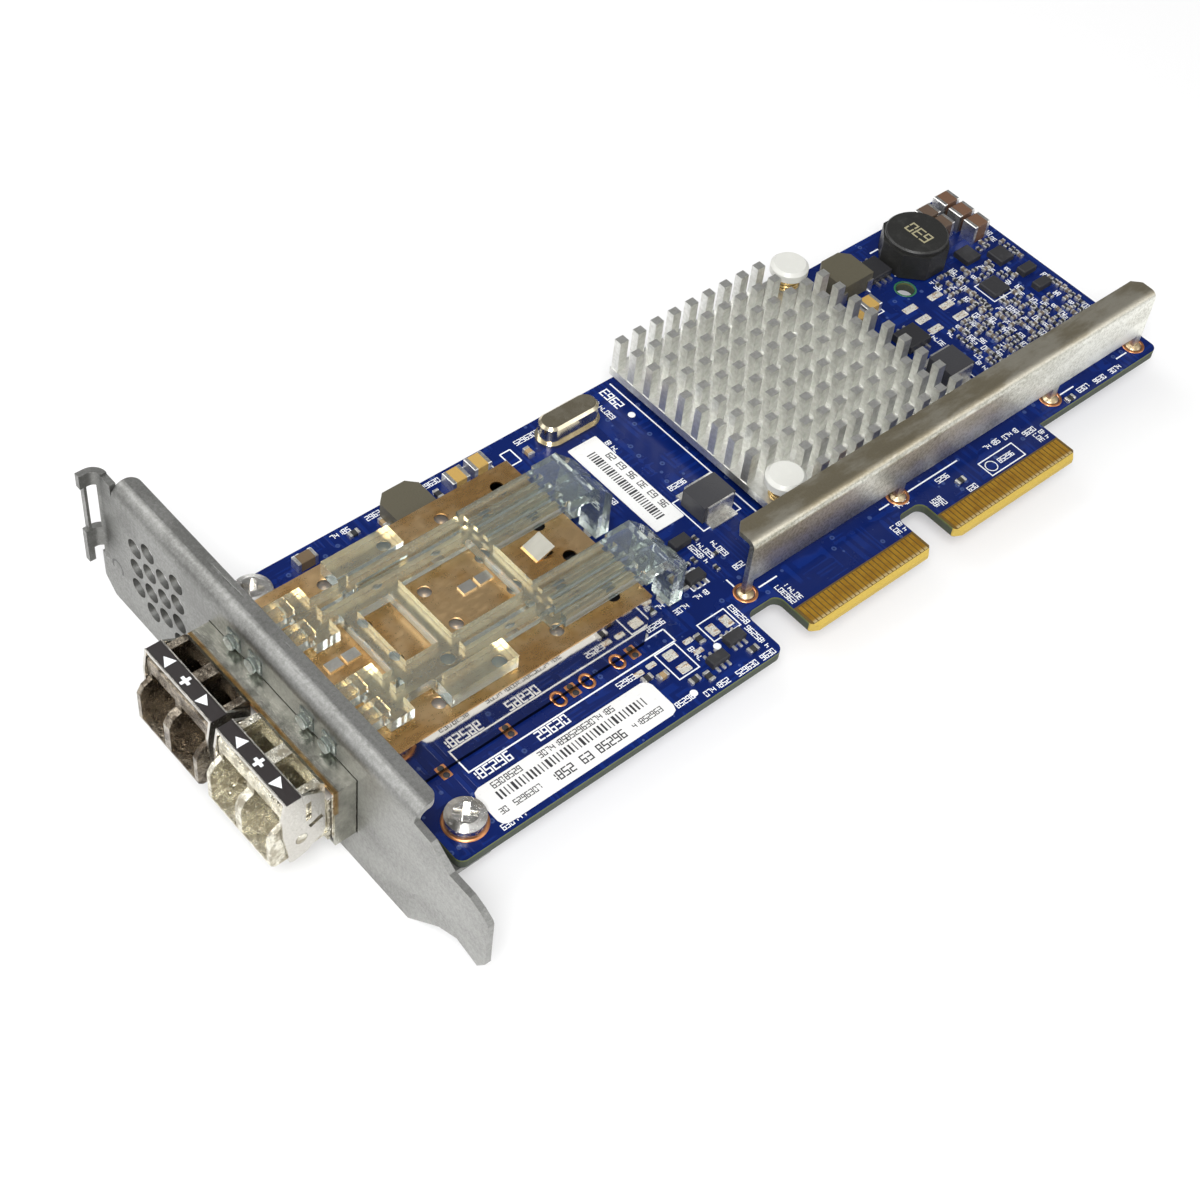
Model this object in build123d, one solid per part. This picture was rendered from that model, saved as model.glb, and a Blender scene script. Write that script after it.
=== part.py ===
from build123d import *
import os

# Frame: X runs from the bracket's outer face along the board, Y from the contact edge across it,
# Z up from the component side. The origin is on the bracket's outer face. All sizes in millimetres.

# Board
board_length = 141.4
board_width = 51.6
board_thickness = 1.57
bracket_gap = 6.85
near_section = 54.2
first_notch = 5.9
second_notch = 5.1
notch_depth = 7.4
set_back = 7.5
board_corner = 1.2
notch_corner = 1.4
tongue_chamfer = 1.0
same = 0.01
bevel_run = 0.7
bevel_rise = 0.4

# Edge contacts
first_count = 28
second_count = 31
contact_pitch = 0.8
contact_width = 0.6
contact_length = 3.2
contact_thickness = 0.05
tongue_margin = 0.4

# Bracket
sheet = 0.9
bracket_low = -6.8
bracket_high = 16.1
bracket_bend = 2.0
flange_depth = 3.6
flange_near = 0.7
flange_far = 62.5
face_far = 64.6
face_end = 66.6
face_corner = 2.2
tongue_outline = (
    (-2.35, 13.8), (-4.3, 12.4), (-5.8, 11.4), (-9.5, 11.35), (-11.35, 10.7), (-12.66, 9.9), (-12.9, 9.4),
    (-12.9, 1.2), (-11.6, -0.7), (-7.8, 0.3), (-4.5, -1.4),
)
tongue_foot = 1.2
face_top = 16.0
tab_depth = 2.4
tab_bend = 1.2
tab_low = 0.2
tab_high = 16.3
tab_slot_low = 6.0
tab_slot_high = 14.0
tab_slot_start = 0.8
tab_slot_into_plate = 0.3
tab_notch_top = 2.5
tab_recess = 0.5
vent_radius = 1.45
vent_pitch_y = 3.13
vent_pitch_z = 3.83
vent_first_y = 48.6
vent_low_z = -1.3
ear_length = 13.0
ear_width = 8.2
ear_near_y = 0.3
ear_far_inset = 7.2
ear_corner = 1.5
fit_gap = 0.1

# Fixing screws
screw_x = 4.2
screw_thread = 1.5
screw_hole = 1.65
screw_head_radius = 2.7
screw_head_height = 2.0
screw_dome = 0.5
screw_length = 4.6
recess_width = 0.8
recess_span = 3.0
recess_depth = 1.3

# Cage
cage_offset = 0.5
cage_slack = 0.4
cage_height = 10.0
cage_rear = 46.75
cage_nose = 3.2
cage_sheet = 0.3
collar_sheet = 0.35
collar_rear = 1.6
collar_clearance = 0.15
cage_floor_rear = 34.0
module_gap = 1.4
hole_radius = 0.95
hole_pitch = 9.3
hole_first_x = 14.8
hole_row = 4.2
hole_columns = 4
divider_tabs = (7.0, 9.6, 27.7, 30.3)
divider_tab_length = 2.1
divider_tab_fold = 1.2
leaf_start = 38.4
leaf_end = 41.4
leaf_near = 24.7
leaf_far = 27.9
leaf_rise = 1.2
finger_offsets = (-5.0, 0.0, 5.0)
finger_width = 1.5
finger_length = 4.6
finger_rise = 0.9
finger_root = 0.2

# Modules
module_width = 13.4
module_low = 0.35
module_height = 8.5
module_lid = 0.3
module_wall = 0.8
module_rear = 40.95
tray_start = 0.0
nose_inset = 0.35
nose_front = 11.6
nose_rear = 3.7
nose_low = 1.0
nose_top = 12.2
nose_brow = 11.6
nose_step = 9.7
nose_chin = 7.6
nose_slope = 1.2
nose_edge = 0.6
lens_wall = 0.9
socket_wall = 1.25
socket_low = 1.9
socket_high = 9.4
socket_end = -1.2
pocket_width = 4.4
pocket_start = -7.0
pocket_end = -4.3
sleeve_outer = 1.45
sleeve_inner = 0.65
sleeve_length = 4.4
sleeve_fit = 0.05
optic_length = 7.0
optic_gap = 0.85
optic_z = 4.9
module_board_low = 3.6
module_board_thickness = 1.0
module_tongue_half = 5.3
module_tongue_length = 1.2

# Bail
bail_sheet = 0.4
bail_side_gap = 0.12
bail_top = 12.75
bail_front = 9.6
bail_back = 7.2
bail_rim_width = 0.2
bail_rim_height = 0.12
bail_side = (
    (-5.9, 12.0), (-4.4, 11.1), (-4.1, 10.4), (-4.1, 3.6), (-4.6, 2.6), (-6.0, 1.9), (-6.6, 1.1), (-8.8, 0.6),
    (-9.3, 0.9), (-9.5, 3.2), (-10.1, 7.0), (-10.1, 9.7),
)
tall_slot = (-6.8, -6.0, 7.3, 10.7)
slant_slot_x = -5.4
slant_slot_z = 6.2
slant_slot_length = 2.0
slant_slot_width = 0.8
slant_slot_turn = -22
pivot_x = -7.5
pivot_z = 4.3
pivot_radius = 0.8
pivot_clearance = 0.05

# Host connectors
host_gap = 0.1
host_length = 5.2
host_half = 5.9
host_height = 7.2
host_slot = 1.6

# Light pipe
pipe_shift = -0.95
pipe_low = 10.1
pipe_high = 12.0
pipe_web = 0.6
rib_count = 4
rib_width = 1.1
rib_pitch = 2.0
rib_start = 34.5
rib_end = 48.0
bar_width = 1.5
bar_spread = 2.6
frame_start = 12.4
frame_end = 21.6
frame_wall = 2.1
cross_start = 32.9
cross_end = 34.9
cross_overlap = 1.0
clip_start = 15.4
clip_end = 25.8
clip_reach = 13.2
clip_width = 3.4
clip_top = 12.4
block_start = 7.5
block_end = 11.0
block_half = 4.3
lens_spread = 4.38
lens_size = 2.5
lens_reach = 1.0
lens_tip = 0.8
lens_tip_radius = 1.0
lens_z = 12.0
lens_gap = 0.15
hood_width = 8.0
hood_split = 1.0
hood_top_end = 51.6
hood_end = 55.2
hood_leg = 2.2
hood_under = 9.6
hood_cut = 1.6
hood_wall = 0.8
pipe_overlap = 0.5
led_width = 1.2
led_length = 1.8
led_height = 0.8
led_gap = 0.3

# Heat sink
sink_half = 17.75
sink_shift_x = 1.15
sink_shift_y = 2.4
pin_count = 11
pin_margin = 0.1
pin_length = 1.5
pin_width = 1.3
pin_top = 9.2
sink_base_low = 2.4
sink_base = 1.3
cleared_pins = 2
chip_size = 25.0
substrate_top = 1.1
chip_height = 1.9
cap_margin = 2.0
pad_margin = 2.5
push_inset = 2.45
push_head = 2.9
push_head_height = 1.6
head_edge = 0.5
push_stem = 1.45
push_hole = 1.6
push_top = 8.3
spring_wire = 0.4
spring_radius = 1.95
barb_radius = 2.1
barb_length = 2.0
barb_tip = 0.9
barb_slot = 0.6
barb_slot_top = 0.5

# Stiffener rail
rail_from_notch = 1.9
rail_end_gap = 2.1
rail_y = 9.7
rail_sheet = 0.8
rail_top = 10.6
rail_bottom = 2.6
rail_flange = 4.2
rail_bend = 1.2
rail_corner = 1.3
leg_width = 1.3
leg_shares = (0.0, 0.362, 0.764, 1.0)
tail_width = 0.8
tail_thinning = 0.05
tail_reach = 2.4
leg_hole = 0.65

# Hole for assembly tooling, measured from the board's far corner
tool_hole_inset = (22.45, 12.0)
tool_hole_radius = 1.45

# Packages, as length, width and height
chip_edge = 0.1
package_lift = 0.15
tall_capacitor_size = (3.4, 2.6, 3.3)
bulk_capacitor_size = (3.4, 2.6, 2.9)
tan_capacitor_size = (3.0, 2.6, 1.9)
brown_capacitor_size = (3.2, 1.7, 1.7)
power_chip_size = (3.0, 3.0, 1.0)
small_chip_size = (2.9, 1.6, 1.1)
supervisor_size = (3.4, 3.4, 0.9)
upper_switch_size = (4.0, 3.9, 1.5)
lower_switch_size = (4.4, 3.9, 1.5)
input_choke_size = (6.4, 6.4, 3.4)
rear_choke_size = (6.6, 5.4, 3.2)
input_bead_size = (5.8, 4.4, 3.2)
output_bead_size = (5.0, 4.6, 3.0)
switch_leads = 3
lead_pitch = 1.27
lead_width = 0.4
lead_length = 0.9
lead_height = 0.45
choke_corner = 1.4
choke_clip_half = 0.6
choke_clip_inset = 0.4
choke_clip_proud = 0.15
choke_clip_reach = 1.6
choke_clip_share = 0.6
bead_strap = 0.3
bead_strap_inset = 0.5
bead_foot = 1.6
bead_lift = 0.2
crystal_length = 10.8
crystal_width = 4.6
crystal_flange = 0.5
crystal_lip = 0.4
crystal_height = 3.4
crystal_edge = 0.4
inductor_radius = 5.5
inductor_body = 4.6
inductor_cap = 4.95
inductor_top = 5.4
inductor_edge = 0.25
inductor_lift = 0.2
inductor_foot_in = 3.4
inductor_foot_out = 5.0
inductor_foot_half = 1.4

# Places in the far end's group, measured from the board's far corner
tall_capacitor_insets = ((4.35, 3.0), (4.35, 6.3), (4.35, 9.6))
bulk_capacitor_insets = ((8.85, 3.2), (8.85, 6.3))
power_chip_insets = ((9.05, 12.6), (4.65, 15.7))
far_small_chip_insets = ((3.65, 20.3), (4.25, 24.0))
supervisor_inset = (10.95, 20.1)
inductor_inset = (16.55, 7.5)
upper_switch_inset = (24.15, 6.6)
input_choke_inset = (30.15, 5.5)
far_tan_insets = ((30.85, 12.0), (34.25, 12.7))
lower_switch_inset = (30.45, 20.7)
output_bead_inset = (30.95, 28.9)

# Places along the board's upper edge, as a share of its length and a distance from that edge
crystal_place = (0.4056, 3.9)
rear_choke_place = (0.204, 3.4)
brown_capacitor_place = (0.0909, 2.6)
near_tan_places = ((0.2684, 3.0), (0.2967, 2.7))

# Places at the end of the near section, as distances from its corner
near_small_chip_insets = ((1.45, 16.0), (4.25, 5.2), (8.45, 3.9))
bead_chip_gap = (7.9, 3.0)
input_bead_gap = 4.45
input_bead_y = 24.8

# Derived sizes and places
board_near_x = bracket_gap
board_far_x = board_near_x + board_length
near_end_x = board_near_x + near_section
first_tongue_x = near_end_x + first_notch
first_tongue = first_count * contact_pitch + 2 * tongue_margin
second_tongue_x = first_tongue_x + first_tongue + second_notch
second_tongue = second_count * contact_pitch + 2 * tongue_margin
module_pitch = module_width + module_gap
cage_width = 2 * module_pitch - cage_slack
cage_centre = board_width / 2 + cage_offset
cage_near_y = cage_centre - cage_width / 2
cage_far_y = cage_centre + cage_width / 2
ports = (cage_centre - module_pitch / 2, cage_centre + module_pitch / 2)
port_names = ("near", "far")
lens_pitch = (module_width - lens_wall) / 2
socket_width = lens_pitch - socket_wall
optic_radius = (lens_pitch - optic_gap) / 2
nose_side = module_width / 2 - nose_inset
bail_inner = nose_side + bail_side_gap
bail_outer = bail_inner + bail_sheet
ear_places = (ear_near_y, board_width - ear_far_inset)
screw_places = [(board_near_x + screw_x, y + ear_width / 2) for y in ear_places]
hood_centres = [port + pipe_shift for port in ports]


def from_corner(inset):
    """A place on the board, from its distances to the far end and the upper edge."""
    return board_far_x - inset[0], board_width - inset[1]


def along_edge(place):
    """A place on the board, from its share of the length and its distance to the upper edge."""
    return board_near_x + place[0] * board_length, board_width - place[1]


crystal_x = along_edge(crystal_place)[0]
sink_x = (crystal_x + from_corner(input_choke_inset)[0]) / 2 + sink_shift_x
sink_y = (rail_y + board_width) / 2 + sink_shift_y
sink_centre = (sink_x, sink_y)
pin_pitch = (2 * (sink_half - pin_margin) - pin_length) / (pin_count - 1)
push_offset = sink_half - push_inset
push_places = [(sink_x + sign * push_offset, sink_y + sign * push_offset) for sign in (-1, 1)]
rail_start = near_end_x + rail_from_notch
rail_end = board_far_x - rail_end_gap
leg_places = [rail_start + leg_width / 2 + share * (rail_end - rail_start - leg_width) for share in leg_shares]
tool_hole = from_corner(tool_hole_inset)
input_bead_place = (sink_x - sink_half - input_bead_gap, input_bead_y)
small_chip_places = [from_corner(inset) for inset in far_small_chip_insets]
small_chip_places.append((input_bead_place[0] - bead_chip_gap[0], input_bead_y - bead_chip_gap[1]))
small_chip_places += [(near_end_x - inset[0], inset[1]) for inset in near_small_chip_insets]
tan_capacitor_places = [along_edge(place) for place in near_tan_places]
tan_capacitor_places += [from_corner(inset) for inset in far_tan_insets]


def block(x0, x1, y0, y1, z0, z1):
    """A box between two opposite corners."""
    centre = ((x0 + x1) / 2, (y0 + y1) / 2, (z0 + z1) / 2)
    return Pos(*centre) * Box(x1 - x0, y1 - y0, z1 - z0)


def upright(x, y, radius, z0, z1):
    """A cylinder standing on z0."""
    return Pos(x, y, (z0 + z1) / 2) * Cylinder(radius, z1 - z0)


def across(x, z, radius, y0, y1):
    """A cylinder lying along Y."""
    return Pos(x, (y0 + y1) / 2, z) * Rot(90, 0, 0) * Cylinder(radius, y1 - y0)


def xz_plate(points, y0, y1):
    """A flat plate between two Y values, with its outline given as (x, z) points."""
    wire = Polyline(*[(x, y0, z) for x, z in points], close=True)
    return extrude(make_face(wire), amount=y1 - y0, dir=(0, 1, 0))


def yz_plate(points, x0, x1):
    """A flat plate between two X values, with its outline given as (y, z) points."""
    wire = Polyline(*[(x0, y, z) for y, z in points], close=True)
    return extrude(make_face(wire), amount=x1 - x0, dir=(1, 0, 0))


def group(solids):
    """Separate solids kept in one node."""
    return Compound(children=list(solids))


def board():
    """The circuit board: two contact tongues, notches, bevelled tips and its holes."""
    x0 = board_near_x
    x1 = near_end_x
    x2 = first_tongue_x
    x3 = x2 + first_tongue
    x4 = second_tongue_x
    x5 = x4 + second_tongue
    inner = [(x1, notch_depth), (x2, notch_depth), (x3, notch_depth), (x4, notch_depth)]
    outline = [(x0, 0), (x1, 0), inner[0], inner[1], (x2, 0), (x3, 0), inner[2], inner[3]]
    outline += [(x4, 0), (x5, 0), (x5, set_back), (board_far_x, set_back)]
    outline += [(board_far_x, board_width), (x0, board_width)]
    sketch = make_face(Polyline(*outline, close=True))
    tips = [v for v in sketch.vertices() if abs(v.Y) < same and v.X > x1 + same]
    sketch = chamfer(tips, tongue_chamfer)
    deep = [v for v in sketch.vertices() if abs(v.Y - notch_depth) < same]
    sketch = fillet(deep, notch_corner)
    ends = [v for v in sketch.vertices() if v.X > board_far_x - same]
    ends += [v for v in sketch.vertices() if abs(v.Y) < same and v.X < x1 + same]
    sketch = fillet(ends, board_corner)
    solid = extrude(sketch, amount=-board_thickness)
    for start, end in ((x2, x3), (x4, x5)):
        upper = [(0, 0), (bevel_run, 0), (0, -bevel_rise)]
        lower = [(0, -board_thickness), (bevel_run, -board_thickness), (0, bevel_rise - board_thickness)]
        solid -= yz_plate(upper, start, end)
        solid -= yz_plate(lower, start, end)
    for x, y in screw_places:
        solid -= upright(x, y, screw_hole, -board_thickness, 0)
    for x, y in push_places:
        solid -= upright(x, y, push_hole, -board_thickness, 0)
    for x in leg_places:
        solid -= upright(x, rail_y + rail_sheet / 2, leg_hole, -board_thickness, 0)
    solid -= upright(*tool_hole, tool_hole_radius, -board_thickness, 0)
    return solid


def contacts(z0, z1):
    """One gold finger for each position, on one side of both tongues."""
    fingers = []
    for start, count in ((first_tongue_x, first_count), (second_tongue_x, second_count)):
        for index in range(count):
            x = start + tongue_margin + (index + 0.5) * contact_pitch
            left = x - contact_width / 2
            fingers.append(block(left, left + contact_width, bevel_run, bevel_run + contact_length, z0, z1))
    return group(fingers)


def bracket_fold():
    """The round bend along the face's top and the flange behind it, with rounded ends."""
    top = bracket_high
    start = flange_near
    end = flange_far
    tube = across(bracket_bend, top - bracket_bend, bracket_bend, start, end)
    tube -= across(bracket_bend, top - bracket_bend, bracket_bend - sheet, start, end)
    quarter = tube & block(0, bracket_bend, start, end, top - bracket_bend, top)
    flange = block(bracket_bend, flange_depth, start, end, top - sheet, top)
    fold = quarter + flange
    corners = fold.edges().filter_by(Axis.Z).sort_by(Axis.X)[-2:]
    return fillet(corners, flange_depth - bracket_bend - fit_gap)


def bracket_face():
    """The flat face with the narrow tongue at its near end."""
    low = bracket_low
    shoulder = bracket_high - bracket_bend
    far_side = [
        (tongue_foot, low), (face_end - face_corner, low), (face_end, low + face_corner),
        (face_end, tab_low), (face_far, tab_low), (face_far, face_top), (flange_far + fit_gap, face_top),
        (flange_far + fit_gap, shoulder),
    ]
    return yz_plate([(flange_near, shoulder), *tongue_outline, *far_side], 0, sheet)


def bracket_tab():
    """The end tab, bent to the outside: a slot through the bend, a recess and an open foot."""
    inner = tab_bend
    outer = inner + sheet
    bend = upright(-inner, face_far, outer, tab_low, tab_high)
    bend -= upright(-inner, face_far, inner, tab_low, tab_high)
    bend &= block(-inner, sheet, face_far, face_far + outer, tab_low, tab_high)
    plate = block(-tab_depth, -inner, face_far + inner, face_far + outer, tab_low, tab_high)
    tab = bend + plate
    slot_out = -inner - tab_slot_into_plate
    cut = (slot_out, sheet, face_far + tab_slot_start, face_far + outer)
    tab -= block(*cut, tab_slot_low, tab_slot_high)
    tab -= block(*cut, tab_low, tab_notch_top)
    tab -= block(-tab_depth, tab_recess - tab_depth, face_far, face_far + outer, tab_slot_low, tab_slot_high)
    return tab


def vent_places():
    """Centres of the bracket's vents: four columns, staggered by half a pitch."""
    places = []
    for column in range(4):
        rows = 4 - column % 2
        shift = (column % 2) * vent_pitch_z / 2
        for row in range(rows):
            places.append((vent_first_y + column * vent_pitch_y, vent_low_z + shift + row * vent_pitch_z))
    return places


def bracket():
    """The mounting bracket, one folded sheet with ports, vents, ears and tab."""
    body = bracket_face() + bracket_fold() + bracket_tab()
    ear_top = -board_thickness
    for y in ear_places:
        ear = block(sheet, ear_length, y, y + ear_width, ear_top - sheet, ear_top)
        body += fillet(ear.edges().filter_by(Axis.Z).sort_by(Axis.X)[-2:], ear_corner)
    gap = collar_sheet + collar_clearance
    body -= block(0, sheet, cage_near_y - gap, cage_far_y + gap, -gap, cage_height + gap)
    for y, z in vent_places():
        body -= Pos(sheet / 2, y, z) * Rot(0, 90, 0) * Cylinder(vent_radius, sheet)
    half = lens_size / 2 + lens_gap
    for port in ports:
        for side in (-1, 1):
            y = port + side * lens_spread / 2
            body -= block(0, sheet, y - half, y + half, lens_z - half, lens_z + half)
    for x, y in screw_places:
        body -= upright(x, y, screw_thread, ear_top - sheet, ear_top)
    return body


def screws():
    """Pan-head screws with a cross recess, through the board into the bracket's ears."""
    result = []
    for x, y in screw_places:
        head = upright(x, y, screw_head_radius, 0, screw_head_height)
        head = chamfer(head.edges().sort_by(Axis.Z)[-1], screw_dome, 2 * screw_dome)
        for turn in (45, 135):
            bar = Rot(0, 0, turn) * Box(recess_span, recess_width, recess_depth)
            head -= Pos(x, y, screw_head_height - recess_depth / 2) * bar
        shank = upright(x, y, screw_thread, -screw_length, 0)
        result.append(head + shank)
    return group(result)


def cage_hole_places():
    """The vent holes in the cage's top, in staggered rows over each port."""
    places = []
    for port in ports:
        for column in range(hole_columns):
            x = hole_first_x + column * hole_pitch
            places += [(x, port - hole_row), (x, port + hole_row)]
            if column < hole_columns - 1:
                places.append((x + hole_pitch / 2, port))
    return places


def cage_shell():
    """The folded top, sides and rear of the double cage, with vent holes and one bent-up leaf."""
    t = cage_sheet
    top = cage_height
    outer = block(-cage_nose, cage_rear, cage_near_y, cage_far_y, 0, top)
    inner = block(-cage_nose, cage_rear - t, cage_near_y + t, cage_far_y - t, 0, top - t)
    shell = outer - inner
    for x, y in cage_hole_places():
        shell -= upright(x, y, hole_radius, top - t, top)
    for x in divider_tabs:
        shell -= block(x, x + divider_tab_length, cage_centre - t, cage_centre + t, top - t, top)
    shell -= block(leaf_start, leaf_end, leaf_near, leaf_far, top - t, top)
    leaf = [
        (leaf_start - t, top - t), (leaf_start + t, top - t), (leaf_end, top + leaf_rise - t),
        (leaf_end, top + leaf_rise), (leaf_start, top),
    ]
    return shell + xz_plate(leaf, leaf_near, leaf_far)


def cage_floor():
    """The pan that closes the cage below the modules."""
    t = cage_sheet
    return block(-cage_nose, cage_floor_rear, cage_near_y + t, cage_far_y - t, 0, t)


def cage_divider():
    """The wall between the ports, with tabs through the top that are folded flat."""
    t = cage_sheet
    top = cage_height
    wall = block(-cage_nose, cage_rear - t, cage_centre - t, cage_centre + t, t, top - t)
    for x in divider_tabs:
        wall += block(x, x + divider_tab_length, cage_centre - t, cage_centre + t, top - t, top)
        wall += block(x, x + divider_tab_length, cage_centre - t, cage_centre + divider_tab_fold, top, top + t)
    return wall


def cage_collar():
    """The earthing collar round the cage's mouth, with sprung fingers on its top."""
    t = collar_sheet
    front = -cage_nose
    top = cage_height
    collar = block(front, collar_rear, cage_near_y - t, cage_far_y + t, -t, top + t)
    collar -= block(front, collar_rear, cage_near_y, cage_far_y, 0, top)
    root = collar_rear - finger_root
    tip = collar_rear + finger_length
    mid = collar_rear + finger_length / 2
    finger = [
        (root, top), (collar_rear, top), (mid, top + finger_rise - t), (tip, top),
        (tip, top + t), (mid, top + finger_rise), (root, top + t),
    ]
    for port in ports:
        for offset in finger_offsets:
            y = port + offset
            collar += xz_plate(finger, y - finger_width / 2, y + finger_width / 2)
    return collar


def along(x0, x1, y, z, radius):
    """A cylinder lying along X."""
    return Pos((x0 + x1) / 2, y, z) * Rot(0, 90, 0) * Cylinder(radius, x1 - x0)


def module_tray(port):
    """The die-cast tray that holds the module's board and barrels inside the cage."""
    half = module_width / 2
    inner = half - module_wall
    low = module_low
    top = low + module_height - module_lid
    tray = block(-nose_rear, module_rear, port - half, port + half, low, top)
    tray -= block(tray_start, module_rear, port - inner, port + inner, low + module_wall, top)
    for sign in (-1, 1):
        y = port + sign * lens_pitch / 2
        half_socket = socket_width / 2
        tray -= block(-nose_rear, socket_end, y - half_socket, y + half_socket, socket_low, top - module_wall)
        tray -= along(socket_end, tray_start, y, optic_z, sleeve_outer + sleeve_fit)
    return tray


def module_nose(port):
    """The nose outside the cage: two sockets, an open front, two pockets and the bail's pins."""
    side = [
        (-nose_front, nose_low + nose_edge), (nose_edge - nose_front, nose_low), (-nose_rear, nose_low),
        (-nose_rear, nose_top - nose_edge), (-nose_rear - nose_edge, nose_top), (pocket_start, nose_top),
        (-nose_step, nose_brow), (-nose_step, nose_chin + nose_edge), (-nose_step - nose_slope, nose_chin),
        (-nose_front, nose_chin - nose_slope),
    ]
    nose = xz_plate(side, port - nose_side, port + nose_side)
    for sign in (-1, 1):
        y = port + sign * lens_pitch / 2
        half_socket = socket_width / 2
        half_pocket = pocket_width / 2
        nose -= block(-nose_front, -nose_rear, y - half_socket, y + half_socket, socket_low, socket_high)
        nose -= block(-nose_front, -nose_step, y - half_socket, y + half_socket, socket_low, nose_top)
        nose -= block(pocket_start, pocket_end, y - half_pocket, y + half_pocket, socket_high, nose_top)
        reach = bail_outer - nose_side
        start = port + sign * (nose_side + reach / 2)
        nose += across(pivot_x, pivot_z, pivot_radius, start - reach / 2, start + reach / 2)
    return nose


def module_housing(port):
    """The module's casting, tray and nose in one piece."""
    return module_tray(port) + module_nose(port)


def module_cover(port):
    """The stamped lid over the module's tray."""
    half = module_width / 2
    top = module_low + module_height
    return block(-nose_rear, module_rear, port - half, port + half, top - module_lid, top)


def module_board(port):
    """The module's own circuit board; its rear tongue plugs into the host connector."""
    half = module_width / 2 - module_wall
    low = module_board_low
    high = low + module_board_thickness
    front = tray_start + optic_length
    base = block(front, module_rear, port - half, port + half, low, high)
    tongue_end = module_rear + module_tongue_length
    half = module_tongue_half
    return base + block(module_rear, tongue_end, port - half, port + half, low, high)


def module_optics(port):
    """A transmitter and a receiver barrel, each with a hollow sleeve in its socket."""
    parts = []
    sleeve_start = tray_start - sleeve_length
    for sign in (-1, 1):
        y = port + sign * lens_pitch / 2
        sleeve = along(sleeve_start, tray_start, y, optic_z, sleeve_outer)
        sleeve -= along(sleeve_start, sleeve_start + sleeve_length / 2, y, optic_z, sleeve_inner)
        parts.append(sleeve + along(tray_start, tray_start + optic_length, y, optic_z, optic_radius))
    return group(parts)


def bail(port):
    """The folded bail: a top strip and two slotted side plates that turn on the nose's pins."""
    outline = [(-bail_front, bail_top), (-bail_back, bail_top), *bail_side]
    plate = xz_plate(outline, -bail_outer, -bail_inner)
    x0, x1, z0, z1 = tall_slot
    plate -= block(x0, x1, -bail_outer, -bail_inner, z0, z1)
    slant = Rot(0, slant_slot_turn, 0) * Box(slant_slot_length, bail_sheet, slant_slot_width)
    plate -= Pos(slant_slot_x, -(bail_outer + bail_inner) / 2, slant_slot_z) * slant
    plate -= across(pivot_x, pivot_z, pivot_radius + pivot_clearance, -bail_outer, -bail_inner)
    strip = block(-bail_front, -bail_back, -bail_outer, bail_outer, bail_top - bail_sheet, bail_top)
    for x in (-bail_front, -bail_back - bail_rim_width):
        rim = (x, x + bail_rim_width, -bail_outer, bail_outer)
        strip += block(*rim, bail_top, bail_top + bail_rim_height)
    whole = strip + plate + mirror(plate, Plane.XZ)
    return Pos(0, port, 0) * whole


def host_connector(port):
    """The board's connector behind the module, with a slot for the module's tongue."""
    start = module_rear + host_gap
    body = block(start, start + host_length, port - host_half, port + host_half, 0, host_height)
    low = module_board_low - host_gap
    high = module_board_low + module_board_thickness + host_gap
    inner = module_tongue_half + host_gap
    body -= block(start, start + host_slot, port - inner, port + inner, low, high)
    return body


def pipe_hood(y):
    """The rear of a light pipe: two legs over their lamps, cut at 45 degrees to turn the light."""
    top = pipe_high
    end = hood_end
    leg_low = led_height + led_gap
    profile = [
        (rib_end - pipe_overlap, top), (hood_top_end, top), (end, top - (end - hood_top_end)), (end, leg_low),
        (end - hood_leg, leg_low), (end - hood_leg, hood_under - hood_cut),
        (end - hood_leg - hood_cut, hood_under), (rib_end - pipe_overlap, pipe_low),
    ]
    hood = xz_plate(profile, y - hood_width / 2, y + hood_width / 2)
    hood -= block(rib_end + hood_wall, end, y - hood_split / 2, y + hood_split / 2, leg_low, top - hood_wall)
    return hood


def pipe_lenses(port):
    """Two square bars from the cage's top to the bracket, each with a rounded tip."""
    half = lens_size / 2
    body = None
    for side in (-1, 1):
        y = port + side * lens_spread / 2
        bar_end = block_start + pipe_overlap
        bar = block(lens_tip - lens_reach, bar_end, y - half, y + half, lens_z - half, lens_z + half)
        bar += along(-lens_reach, lens_tip - lens_reach, y, lens_z, lens_tip_radius)
        body = bar if body is None else body + bar
    return body


def light_pipe():
    """One clear moulding for both ports: ribbed light guides, cross frames, clips, lenses and hoods."""
    low = pipe_low
    top = pipe_high
    near, far = hood_centres
    body = block(frame_start, frame_end, near, far, low, top)
    wall = frame_wall
    body -= block(frame_start + wall, frame_end - wall, near + wall, far - wall, low, top)
    body += block(cross_start, cross_end, near - cross_overlap, far + cross_overlap, low, top)
    for sign, port, y in ((-1, ports[0], near), (1, ports[1], far)):
        body += pipe_hood(y) + pipe_lenses(port)
        body += block(block_start, block_end, port - block_half, port + block_half, low, top)
        for index in range(rib_count):
            rib_y = y + (index - (rib_count - 1) / 2) * rib_pitch
            body += block(rib_start, rib_end, rib_y - rib_width / 2, rib_y + rib_width / 2, low, top)
        web_half = (rib_count - 1) * rib_pitch / 2
        body += block(cross_start, rib_end, y - web_half, y + web_half, low, low + pipe_web)
        for side in (-1, 1):
            bar_y = port + side * bar_spread / 2
            half = bar_width / 2
            body += block(block_end - pipe_overlap, cross_end, bar_y - half, bar_y + half, low, top)
        edge = sorted((cage_centre + sign * clip_reach, cage_centre + sign * (clip_reach - clip_width)))
        body += block(clip_start, clip_end, *edge, low, clip_top)
        inner = sorted((cage_centre + sign * (clip_reach - clip_width), port))
        body += block(clip_start, clip_start + bar_width, *inner, low, top)
    return body


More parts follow.
